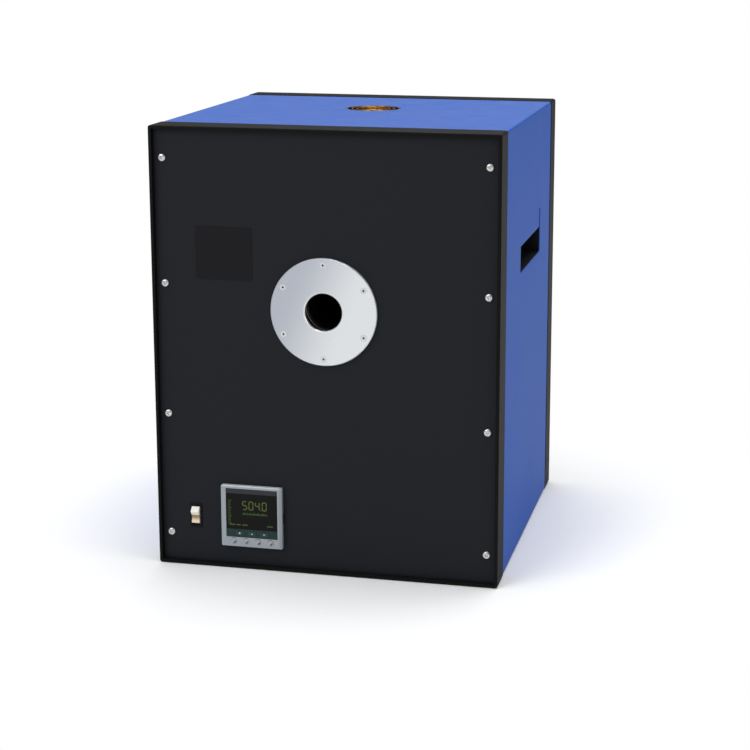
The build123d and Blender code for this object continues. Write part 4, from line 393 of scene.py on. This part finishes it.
def fired_ceramic(name, colour, rough=0.6, pits=0.00015, tone=0.12):
    """Fired ceramic with fine pits and a cloudy body."""
    paint = Paint(name, Specular_IOR_Level=0.35)
    body = paint.noise(85.0, 5.0, 0.6)
    pores = paint.ramp(paint.cells(900.0), 0.0, 0.22, 1.0, 0.0)
    paint.set(Base_Color=paint.tint(colour, 1.0 - tone / 2 + body * tone - pores * 0.1),
              Roughness=rough + (body - 0.5) * 0.12 + pores * 0.1,
              Normal=paint.bump(body * 0.4 - pores, pits))
    return paint.material


def heated_sleeve(name):
    """Sheet sleeve blued and browned by heat, darker towards the chamber."""
    paint = Paint(name)
    _, y, _ = paint.axes()
    depth = paint.ramp(y, PANEL_Y, PANEL_Y + SLEEVE_LENGTH)
    streak = paint.noise(160.0, 4.0, 0.6, (1.0, 6.0, 1.0))
    colour = paint.mix(depth, linear(126, 118, 110), linear(34, 31, 30))
    paint.set(Base_Color=paint.tint(colour, 0.8 + streak * 0.4), Metallic=0.75 - depth * 0.3,
              Roughness=0.42 + depth * 0.25 + (streak - 0.5) * 0.1,
              Normal=paint.bump(streak, 0.00005))
    return paint.material


def hot_wall(name):
    """Rough dark wall of the tube, greyer at its open lip."""
    paint = Paint(name, Specular_IOR_Level=0.3)
    _, y, _ = paint.axes()
    lip = paint.ramp(y - FRONT_Y, *TUBE_LIP_BAND, 1.0, 0.0)
    body = paint.noise(240.0, 5.0, 0.65)
    colour = paint.mix(lip, linear(20, 20, 20), linear(96, 92, 88))
    paint.set(Base_Color=paint.tint(colour, 0.85 + body * 0.3),
              Roughness=0.82 - lip * 0.2 + (body - 0.5) * 0.1,
              Normal=paint.bump(body, 0.0002))
    return paint.material


def laminated(name):
    """Stack of thin varnished laminations with slightly uneven edges."""
    paint = Paint(name, Specular_IOR_Level=0.5)
    _, y, _ = paint.axes()
    leaf = paint.math("FRACT", y * LEAVES_PER_METRE)
    edge = paint.ramp(leaf, 0.0, 0.25) * paint.ramp(leaf, 0.75, 1.0, 1.0, 0.0)
    varnish = paint.noise(25.0, 4.0)
    paint.set(Base_Color=paint.mix(edge, linear(34, 28, 24), linear(92, 84, 78)),
              Metallic=edge * 0.6, Roughness=0.4 + varnish * 0.2, Coat_Weight=varnish * 0.5,
              Normal=paint.bump(edge, 0.00008))
    return paint.material


def wound(name):
    """Varnished wrap over a winding, with the turns showing through."""
    paint = Paint(name, Coat_Roughness=0.2)
    _, _, z = paint.axes()
    turn = paint.math("PINGPONG", z * TURNS_PER_METRE, 0.5) * 2.0
    cloth = paint.noise(700.0, 3.0, 0.6, (1.0, 1.0, 4.0))
    colour = paint.mix(turn, linear(122, 66, 28), linear(176, 108, 52))
    paint.set(Base_Color=paint.tint(colour, 0.85 + cloth * 0.3),
              Roughness=0.45 + (cloth - 0.5) * 0.15, Coat_Weight=0.3 + cloth * 0.3,
              Normal=paint.bump(turn + cloth * 0.2, 0.0004))
    return paint.material


def plated_wire(name):
    """Yellow-passivated wire: gold and brown with a faint rainbow drift."""
    paint = Paint(name)
    drift = paint.noise(120.0, 3.0)
    fine = paint.noise(1500.0, 3.0)
    colour = paint.mix(paint.ramp(drift, 0.35, 0.65), linear(150, 108, 44), linear(74, 50, 20))
    paint.set(Base_Color=paint.tint(colour, 0.9 + fine * 0.2), Metallic=0.85,
              Roughness=0.3 + drift * 0.15 + (fine - 0.5) * 0.1, Normal=paint.bump(fine, 0.00002))
    return paint.material


def bright_fastener(name, colour=linear(214, 212, 210), rough=0.3):
    """Plated screw with a fine grain and uneven patches."""
    paint = Paint(name)
    grain = paint.noise(2200.0, 3.0)
    patch = paint.noise(300.0, 3.0)
    paint.set(Base_Color=paint.tint(colour, 0.85 + patch * 0.2),
              Metallic=0.9, Roughness=rough + (grain - 0.5) * 0.2 + (patch - 0.5) * 0.1,
              Normal=paint.bump(grain, 0.00003))
    return paint.material


def socket_fastener(name):
    """Bright countersunk head with painted shade in its hexagon socket."""
    paint = Paint(name)
    _, y, _ = paint.axes()
    # Painted shade darkens the socket behind the head's face
    socket = paint.ramp(y - DISC_Y, *SOCKET_SHADE_BAND)
    grain = paint.noise(2200.0, 3.0)
    colour = paint.mix(socket, linear(214, 216, 220), linear(16, 16, 18))
    paint.set(Base_Color=paint.tint(colour, 0.92 + grain * 0.12),
              Metallic=0.7 - socket * 0.5, Roughness=0.32 + socket * 0.3 + (grain - 0.5) * 0.1)
    return paint.material


def glass_window(name):
    """Dark display window: a grey band along its top and a faint cell grid behind the gloss."""
    paint = Paint(name, Specular_IOR_Level=0.12, Coat_Roughness=0.08)
    _, _, z = paint.axes()
    band = paint.ramp(z - CONTROLLER_Z, *WINDOW_TOP_BAND)
    grid = paint.cells(1600.0)
    smear = paint.noise(70.0, 3.0, 0.6, (1.0, 1.0, 2.0))
    screen = paint.mix(grid * 0.2, linear(7, 9, 6), linear(14, 18, 11))
    paint.set(Base_Color=paint.mix(band, screen, linear(50, 53, 57)), Roughness=0.3 + smear * 0.15,
              Coat_Weight=smear * 0.04, Normal=paint.bump(smear, 0.00001))
    return paint.material


def ivory_rocker(name):
    """Ivory rocker: painted highlight on its upper crest, painted amber shade in the hollow and towards its
    lower half.
    """
    paint = Paint(name, Specular_IOR_Level=0.45)
    _, _, z = paint.axes()
    up = z - SWITCH_Z
    fine = paint.noise(900.0, 3.0)
    # Painted highlight above the middle, painted amber shade in the hollow and the lower half
    lower = paint.ramp(up, *ROCKER_HIGHLIGHT_BAND, 1.0, 0.0)
    shade = paint.ramp(up, *ROCKER_SHADE_BAND)
    colour = paint.mix(shade, linear(232, 216, 190), linear(158, 126, 84))
    colour = paint.mix(lower, linear(240, 237, 226), colour)
    paint.set(Base_Color=paint.tint(colour, 0.97 + fine * 0.06), Roughness=0.26 + fine * 0.08,
              Normal=paint.bump(fine, 0.00001))
    return paint.material


def dished_key(name):
    """Round grey key with painted shade on the side of its dish that looks up and to the left."""
    paint = Paint(name, Specular_IOR_Level=0.4)
    normal = paint.node("ShaderNodeNewGeometry", {}, {}).value("Normal")
    split = paint.node("ShaderNodeSeparateXYZ", {}, {0: normal})
    # Painted shade from the way each part of the dish faces
    shade = paint.ramp(split.value(2) - split.value(0), 0.08, 0.5)
    fine = paint.noise(2000.0, 2.0)
    colour = paint.mix(shade, linear(158, 164, 168), linear(34, 36, 38))
    paint.set(Base_Color=paint.tint(colour, 0.96 + fine * 0.08), Roughness=0.3 + fine * 0.1)
    return paint.material


def lit_mark(name, colour, strength):
    """Glowing segment of the display, a little uneven along its length."""
    paint = Paint(name, Specular_IOR_Level=0.2)
    uneven = paint.noise(700.0, 2.0)
    paint.set(Base_Color=linear(10, 14, 8), Roughness=0.5 + uneven * 0.1,
              Emission_Color=paint.tint(colour, 0.8 + uneven * 0.4), Emission_Strength=strength)
    return paint.material


def floor_material(name):
    """Pale studio floor that runs out into plain white away from the cabinet."""
    paint = Paint(name, Specular_IOR_Level=0.1)
    x, y, _ = paint.axes()
    reach = paint.ramp((x * x + y * y) ** 0.5, *FLOOR_FADE_BAND)
    cloud = paint.noise(2.0, 2.0)
    paint.set(Base_Color=paint.tint(linear(252, 252, 252), 0.99 + cloud * 0.01),
              Roughness=0.8 + cloud * 0.05)
    white = paint.node("ShaderNodeEmission", {}, {"Color": (1.0, 1.0, 1.0, 1.0), "Strength": 1.0}).value(0)
    ground = Value(paint, paint.shader.outputs[0])
    mixed = paint.node("ShaderNodeMixShader", {}, {0: reach, 1: ground, 2: white}).value(0)
    paint.feed(paint.tree.nodes["Material Output"].inputs["Surface"], mixed)
    return paint.material


FINISHES = {
    "front_frame": powder_coat("black_frame_paint", linear(12, 11, 10), 0.58, gloss=0.10, dust_and_sheen=0.008),
    "front_panel": powder_coat("black_panel_paint", linear(25, 27, 32), 0.62, 0.00008, gloss=0.15),
    "blank_plate": moulded("black_anodised_plate", linear(18, 18, 21), 0.55, 0.00002, 0.14),
    "cover": powder_coat("blue_cover_paint", linear(28, 80, 166), 0.52, dust_and_sheen=0.13, gloss=0.10),
    # Near-black pocket plastic stands as painted shade deep in the hand-holds
    "handle_pockets": moulded("pocket_plastic_painted_shade", linear(9, 9, 14), 0.6, gloss=0.2),
    "fan_frame": moulded("black_fan_plastic", linear(24, 24, 25), 0.5),
    "fan_rotor": moulded("black_rotor_plastic", linear(30, 29, 28), 0.42),
    "front_panel_screws": bright_fastener("plated_screws"),
    "aperture_screws": socket_fastener("socket_screws"),
    "chamber_shell": sheet_metal("zinc_sheet", linear(176, 180, 184), 0.4, (1.0, 1.0, 5.0)),
    "tie_rails": sheet_metal("zinc_tube", linear(160, 164, 170), 0.35, (1.0, 0.1, 1.0)),
    "base_pan": sheet_metal("zinc_pan", linear(170, 174, 178), 0.42, (0.1, 1.0, 1.0)),
    "aperture_plate": turned_plate("turned_aluminium"),
    "throat_liner": heated_sleeve("heated_sleeve"),
    "cavity_tube": hot_wall("cavity_wall"),
    "throat_ring": fibre_board("throat_fibre", linear(228, 224, 214), 0.6),
    "front_insulation": fibre_board("block_fibre", linear(232, 229, 220), 0.2),
    "element_holders": fired_ceramic("holder_ceramic", linear(226, 220, 206)),
    "heating_elements": fired_ceramic("element_glaze", linear(104, 98, 94), 0.35, 0.00006, 0.3),
    "bus_bars": sheet_metal("aluminium_bar", linear(196, 198, 200), 0.35, (1.0, 0.1, 1.0)),
    "heatsink": sheet_metal("drawn_aluminium", linear(188, 190, 192), 0.38, (1.0, 1.0, 0.05)),
    "control_thermocouple": fired_ceramic("probe_sheath", linear(214, 204, 186), 0.5),
    "vent_guard": plated_wire("guard_wire"),
    "controller_bezel": bezel_plastic("bezel_plastic"),
    "controller_case": moulded("case_plastic", linear(26, 27, 28), 0.55),
    "controller_latches": moulded("latch_plastic", linear(20, 20, 21), 0.5),
    "controller_gasket": moulded("gasket_rubber", linear(14, 14, 14), 0.8),
    "display_lens": glass_window("display_window"),
    "key_strip": moulded("strip_plastic", linear(34, 52, 52), 0.5, gloss=0.2),
    "mode_key": moulded("strip_key_plastic", linear(40, 62, 62), 0.5, gloss=0.2),
    "page_key": dished_key("round_key_plastic"),
    "switch_body": moulded("switch_plastic", linear(15, 15, 18), 0.6, gloss=0.12),
    "switch_rocker": ivory_rocker("ivory_plastic"),
    "transformer_core": laminated("laminations"),
    "transformer_coil": wound("winding"),
    "power_module": moulded("module_plastic", linear(40, 42, 44), 0.5),
    "mains_terminals": moulded("terminal_plastic", linear(60, 62, 66), 0.5),
    "power_inlet": moulded("inlet_plastic", linear(20, 20, 21), 0.4),
    "inlet_pins": bright_fastener("inlet_contacts", linear(206, 186, 130), 0.25),
    "data_port": sheet_metal("port_shell", linear(186, 188, 190), 0.3),
}

SAME_FINISH = {
    "front_frame": ("rear_frame",),
    "front_panel": ("rear_panel",),
    "cover": ("handle_grips", "fan_screws"),
    "front_panel_screws": ("rear_panel_screws", "cover_screws", "inlet_screws"),
    "chamber_shell": ("shell_lid", "shell_legs"),
    "front_insulation": ("rear_insulation", "side_insulation", "floor_insulation", "roof_insulation"),
    "bus_bars": ("element_clamps",),
    "control_thermocouple": ("limit_thermocouple",),
    "mode_key": ("program_key", "run_key"),
    "page_key": ("scroll_key", "lower_key", "raise_key"),
}


def finish_node(name, material):
    """Give every material slot of a CAD node one material."""
    for slot in NODES[name].material_slots:
        slot.material = material


for lead, material in FINISHES.items():
    finish_node(lead, material)
    for follower in SAME_FINISH.get(lead, ()):
        finish_node(follower, material)


def mesh_object(name, vertices, faces, material, smooth=False):
    """Mesh object at the origin with its faces turned outwards."""
    mesh = bpy.data.meshes.new(name)
    mesh.from_pydata(vertices, [], faces)
    work = bmesh.new()
    work.from_mesh(mesh)
    bmesh.ops.recalc_face_normals(work, faces=work.faces)
    work.to_mesh(mesh)
    work.free()
    mesh.materials.append(material)
    mesh.polygons.foreach_set("use_smooth", [smooth] * len(mesh.polygons))
    made = bpy.data.objects.new(name, mesh)
    bpy.context.collection.objects.link(made)
    return made


def add_plate(vertices, faces, outline, y_front, y_back):
    """Prism between two Y planes whose outline is a list of (x, z)."""
    start = len(vertices)
    count = len(outline)
    vertices += [(x, y_front, z) for x, z in outline]
    vertices += [(x, y_back, z) for x, z in outline]
    faces.append([start + n for n in range(count)])
    faces.append([start + count + n for n in reversed(range(count))])
    for n in range(count):
        following = (n + 1) % count
        faces.append([start + n, start + count + n, start + count + following, start + following])


def rectangle(left, right, low, high):
    return [(left, low), (right, low), (right, high), (left, high)]


def segment_outline(kind, x, z):
    """Outline of one bar of a seven-bar digit whose lower left corner is at (x, z)."""
    half = DIGIT_STROKE / 2
    gap = DIGIT_STROKE * BAR_GAP_SHARE
    middle = z + DIGIT_HEIGHT / 2
    rows = {"top": z + DIGIT_HEIGHT - half, "centre": middle, "bottom": z + half}
    if kind in rows:
        level = rows[kind]
        left, right = x + half + gap, x + DIGIT_WIDTH - half - gap
        return [(left, level), (left + half, level - half), (right - half, level - half), (right, level),
                (right - half, level + half), (left + half, level + half)]
    column = x + half if kind.endswith("left") else x + DIGIT_WIDTH - half
    if kind.startswith("upper"):
        low, high = middle + gap, z + DIGIT_HEIGHT - half - gap
    else:
        low, high = z + half + gap, middle - gap
    return [(column, low), (column + half, low + half), (column + half, high - half), (column, high),
            (column - half, high - half), (column - half, low + half)]


BARS = {
    "0": ("top", "upper_left", "upper_right", "lower_left", "lower_right", "bottom"),
    "4": ("upper_left", "upper_right", "centre", "lower_right"),
    "5": ("top", "upper_left", "centre", "lower_right", "bottom"),
}


def reading_outlines():
    """Bars of the digits, and the point before the last one."""
    x = CONTROLLER_X + READING_X
    z = CONTROLLER_Z + READING_Z
    outlines = []
    for index, digit in enumerate(READING):
        left = x + DIGIT_PITCH * index + (LAST_DIGIT_SHIFT if index > DIGIT_BEFORE_POINT else 0.0)
        outlines += [segment_outline(bar, left, z) for bar in BARS[digit]]
    point = x + DIGIT_PITCH * DIGIT_BEFORE_POINT + DIGIT_WIDTH + POINT_GAP
    return outlines + [rectangle(point, point + POINT_SIZE, z, z + POINT_SIZE)]


def second_line_outlines():
    """Strokes of random length and height in place of text, and the bars at the foot."""
    random.seed(STROKE_SEED)
    outlines = []
    x = CONTROLLER_X + SECOND_LINE_ENDS[0]
    low = CONTROLLER_Z + SECOND_LINE_Z
    while x < CONTROLLER_X + SECOND_LINE_ENDS[1]:
        length = random.uniform(*STROKE_LENGTHS)
        outlines.append(rectangle(x, x + length, low, low + random.choice(STROKE_HEIGHTS)))
        x += length + STROKE_GAP
    low = CONTROLLER_Z + FOOT_Z
    return outlines + [rectangle(CONTROLLER_X + left, CONTROLLER_X + right, low, low + FOOT_HEIGHT)
                       for left, right in FOOT_BARS]


def graph_outlines():
    """Column of bars down the left side, a longer one at every fifth."""
    left = CONTROLLER_X + GRAPH_LEFT
    outlines = []
    for row in range(GRAPH_ROWS):
        low = CONTROLLER_Z + GRAPH_FOOT + row * GRAPH_PITCH
        length = GRAPH_LONG if row % GRAPH_LONG_EVERY == 0 else GRAPH_SHORT
        outlines.append(rectangle(left, left + length, low, low + GRAPH_BAR))
    return outlines


def flat_marks(name, outlines, y_front, y_back, material):
    """One object from flat outlines in (x, z)."""
    vertices, faces = [], []
    for outline in outlines:
        add_plate(vertices, faces, outline, y_front, y_back)
    return mesh_object(name, vertices, faces, material)


def display_marks():
    """Reading, second line and bar graph on the display, in dim green."""
    back = LENS_Y - MARK_LIFT
    front = back - MARK_THICKNESS
    marks = (("reading", reading_outlines, lit_mark("reading_glow", linear(118, 136, 62), 0.42)),
             ("second_line", second_line_outlines, lit_mark("line_glow", linear(96, 130, 60), 0.35)),
             ("bar_graph", graph_outlines, lit_mark("graph_glow", linear(92, 122, 58), 0.3)))
    return [flat_marks(name, outlines(), front, back, material) for name, outlines, material in marks]


def key_marks():
    """Small pale marks on the strip keys: a square, a triangle and a bar."""
    material = moulded("key_print", linear(196, 208, 204), 0.5)
    square = rectangle(-KEY_SQUARE_HALF, KEY_SQUARE_HALF, -KEY_SQUARE_HALF, KEY_SQUARE_HALF)
    bar = rectangle(-KEY_BAR_HALF[0], KEY_BAR_HALF[0], -KEY_BAR_HALF[1], KEY_BAR_HALF[1])
    z = CONTROLLER_Z + KEY_ROW_Z
    marks = []
    for index, points in enumerate((square, KEY_TRIANGLE, bar)):
        x = CONTROLLER_X + KEY_PITCH * (index - 1)
        outline = [(x + dx, z + dz) for dx, dz in points]
        marks.append(flat_marks("key_mark_%d" % index, [outline], STRIP_KEY_Y - MARK_THICKNESS, STRIP_KEY_Y,
                                material))
    return marks


for piece in display_marks():
    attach(piece, "cabinet")
for piece, body in zip(key_marks(), ("mode_button", "program_button", "run_button")):
    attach(piece, body)


def turned_ring(radius, y):
    """Corners of one ring of a turned form about the Y axis."""
    angles = [2 * math.pi * n / HEAD_SIDES for n in range(HEAD_SIDES)]
    return [(radius * math.cos(angle), y, radius * math.sin(angle)) for angle in angles]


def plain_head():
    """Pan head without its recess, centred on the origin and facing -Y."""
    vertices = [(0.0, HEAD_PROFILE[0][1] - HEAD_CROWN, 0.0)]
    for radius, y in HEAD_PROFILE:
        vertices += turned_ring(radius, y)
    vertices.append((0.0, HEAD_PROFILE[-1][1], 0.0))
    starts = [1 + row * HEAD_SIDES for row in range(len(HEAD_PROFILE))]
    faces = []
    for n in range(HEAD_SIDES):
        following = (n + 1) % HEAD_SIDES
        faces.append([0, 1 + n, 1 + following])
        for near, far in zip(starts, starts[1:]):
            faces.append([near + n, far + n, far + following, near + following])
        faces.append([len(vertices) - 1, starts[-1] + following, starts[-1] + n])
    return mesh_object("screw_head_blank", vertices, faces, FINISHES["front_panel_screws"], True)


def cross_arm(turn):
    """Wedge that cuts one arm of the cross recess, turned about Y."""
    corners = [(-CROSS_TOP_HALF, CROSS_TOP_Y), (CROSS_TOP_HALF, CROSS_TOP_Y),
               (CROSS_BOTTOM_HALF, CROSS_BOTTOM_Y), (-CROSS_BOTTOM_HALF, CROSS_BOTTOM_Y)]
    vertices = [(x, y, side) for side in (-CROSS_HALF_WIDTH, CROSS_HALF_WIDTH) for x, y in corners]
    faces = [[0, 1, 2, 3], [7, 6, 5, 4], [0, 4, 5, 1], [1, 5, 6, 2], [2, 6, 7, 3], [3, 7, 4, 0]]
    arm = mesh_object("cross_cutter", vertices, faces, FINISHES["front_panel_screws"])
    arm.data.transform(Matrix.Rotation(turn, 4, "Y"))
    return arm


def screw_head():
    """One pan head with a cross recess."""
    head = plain_head()
    cutters = [cross_arm(turn) for turn in (0, math.pi / 2)]
    for cutter in cutters:
        cut = head.modifiers.new("cut", "BOOLEAN")
        cut.operation = "DIFFERENCE"
        cut.solver = "EXACT"
        cut.object = cutter
    solid = baked(head)
    for cutter in cutters:
        bpy.data.objects.remove(cutter)
    return solid


def baked(made):
    """Turn an object's modifiers into plain mesh."""
    graph = bpy.context.evaluated_depsgraph_get()
    mesh = bpy.data.meshes.new_from_object(made.evaluated_get(graph))
    made.modifiers.clear()
    made.data = mesh
    return made


def scatter_tree(name):
    """Geometry nodes: an object at each vertex, each copy turned about Y by its own amount."""
    tree = bpy.data.node_groups.new(name, "GeometryNodeTree")
    for label, kind in (("Geometry", "NodeSocketGeometry"), ("Piece", "NodeSocketObject"),
                        ("Finish", "NodeSocketMaterial"), ("Turn", "NodeSocketFloat"),
                        ("Seed", "NodeSocketInt")):
        tree.interface.new_socket(label, in_out="INPUT", socket_type=kind)
    tree.interface.new_socket("Geometry", in_out="OUTPUT", socket_type="NodeSocketGeometry")
    nodes, links = tree.nodes, tree.links
    entry = nodes.new("NodeGroupInput")
    leave = nodes.new("NodeGroupOutput")
    piece = nodes.new("GeometryNodeObjectInfo")
    chance = nodes.new("FunctionNodeRandomValue")
    turn = nodes.new("ShaderNodeCombineXYZ")
    instances = nodes.new("GeometryNodeInstanceOnPoints")
    real = nodes.new("GeometryNodeRealizeInstances")
    paint = nodes.new("GeometryNodeSetMaterial")
    chance.data_type = "FLOAT"
    number_outputs = [s for s in chance.outputs if s.type == "VALUE" and s.enabled]
    links.new(entry.outputs["Piece"], piece.inputs["Object"])
    low, high = [s for s in chance.inputs if s.type == "VALUE" and s.enabled][:2]
    low.default_value = 0.0
    links.new(entry.outputs["Turn"], high)
    links.new(entry.outputs["Seed"], chance.inputs["Seed"])
    links.new(number_outputs[0], turn.inputs["Y"])
    links.new(entry.outputs["Geometry"], instances.inputs["Points"])
    links.new(piece.outputs["Geometry"], instances.inputs["Instance"])
    links.new(turn.outputs[0], instances.inputs["Rotation"])
    links.new(instances.outputs[0], real.inputs[0])
    links.new(real.outputs[0], paint.inputs["Geometry"])
    links.new(entry.outputs["Finish"], paint.inputs["Material"])
    links.new(paint.outputs[0], leave.inputs[0])
    return tree


def set_input(modifier, label, value):
    """Set a geometry nodes input by the name it has in its tree."""
    for socket in modifier.node_group.interface.items_tree:
        if socket.name == label and socket.in_out == "INPUT":
            modifier[socket.identifier] = value


def scatter(name, places, piece, material, seed, facing_back=False):
    """Copies of a piece at places given in frame coordinates."""
    points = bpy.data.meshes.new(name)
    points.from_pydata(places, [], [])
    made = bpy.data.objects.new(name, points)
    bpy.context.collection.objects.link(made)
    modifier = made.modifiers.new("scatter", "NODES")
    modifier.node_group = SCATTER
    set_input(modifier, "Piece", piece)
    set_input(modifier, "Finish", material)
    set_input(modifier, "Turn", 2 * math.pi)
    set_input(modifier, "Seed", seed)
    baked(made)
    if facing_back:
        made.data.transform(Matrix.Rotation(math.pi, 4, "Z"))
    return made


SCATTER = scatter_tree("scatter_pieces")
HEAD = screw_head()
screw_places = [(x, PANEL_Y, z) for x in (-SCREW_X, SCREW_X) for z in SCREW_HEIGHTS]
front_heads = scatter("front_screw_heads", screw_places, HEAD, FINISHES["front_panel_screws"],
                      FRONT_TURNS_SEED)
rear_heads = scatter("rear_screw_heads", screw_places, HEAD, FINISHES["front_panel_screws"],
                     REAR_TURNS_SEED, True)
bpy.data.objects.remove(HEAD)
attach(front_heads, "cabinet")
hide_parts("front_panel_screws")
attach(rear_heads, "cabinet")
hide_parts("rear_panel_screws")


def area_light(name, place, target, size, power):
    light = bpy.data.lights.new(name, "AREA")
    light.shape = "RECTANGLE"
    light.size, light.size_y = size
    light.energy = power
    made = bpy.data.objects.new(name, light)
    made.location = place
    made.rotation_euler = (Vector(target) - Vector(place)).to_track_quat("-Z", "Y").to_euler()
    bpy.context.collection.objects.link(made)


def studio_world():
    """White to the camera and through clear pieces, softer as a light and in reflections."""
    world = bpy.data.worlds.new("studio")
    world.use_nodes = True
    tree = world.node_tree
    tree.nodes.clear()
    out = tree.nodes.new("ShaderNodeOutputWorld")
    path = tree.nodes.new("ShaderNodeLightPath")
    seen = tree.nodes.new("ShaderNodeBackground")
    lit = tree.nodes.new("ShaderNodeBackground")
    mix = tree.nodes.new("ShaderNodeMixShader")
    either = tree.nodes.new("ShaderNodeMath")
    either.operation = "MAXIMUM"
    for background, (colour, strength) in ((seen, WORLD_SEEN), (lit, WORLD_LIT)):
        background.inputs[0].default_value = colour
        background.inputs[1].default_value = strength
    tree.links.new(path.outputs["Is Camera Ray"], either.inputs[0])
    tree.links.new(path.outputs["Is Transmission Ray"], either.inputs[1])
    tree.links.new(either.outputs[0], mix.inputs[0])
    tree.links.new(lit.outputs[0], mix.inputs[1])
    tree.links.new(seen.outputs[0], mix.inputs[2])
    tree.links.new(mix.outputs[0], out.inputs[0])
    bpy.context.scene.world = world


def add_camera():
    yaw, pitch, roll = (math.radians(a) for a in (CAMERA_YAW, CAMERA_PITCH, CAMERA_ROLL))
    forward = Vector((math.sin(yaw) * math.cos(pitch), math.cos(yaw) * math.cos(pitch), -math.sin(pitch)))
    right = Vector((math.cos(yaw), -math.sin(yaw), 0.0))
    up = right.cross(forward)
    turned_right = right * math.cos(roll) + up * math.sin(roll)
    turned_up = up * math.cos(roll) - right * math.sin(roll)
    camera = bpy.data.cameras.new("camera")
    camera.lens = CAMERA_LENS
    camera.sensor_width = SENSOR
    camera.shift_x, camera.shift_y = CAMERA_SHIFT
    camera.clip_start = 0.05
    made = bpy.data.objects.new("camera", camera)
    columns = Matrix((turned_right, turned_up, -forward)).transposed().to_4x4()
    made.matrix_world = Matrix.Translation(CAMERA_PLACE) @ columns
    bpy.context.collection.objects.link(made)
    bpy.context.scene.camera = made


def add_floor():
    corners = rectangle(-FLOOR_HALF, FLOOR_HALF, -FLOOR_HALF, FLOOR_HALF)
    floor = mesh_object("floor", [(x, y, FLOOR_Z) for x, y in corners], [[0, 1, 2, 3]],
                        floor_material("studio_floor"))


add_floor()
studio_world()
add_camera()
for light in LIGHTS:
    area_light(*light)

bpy.context.scene.view_settings.view_transform = "Standard"
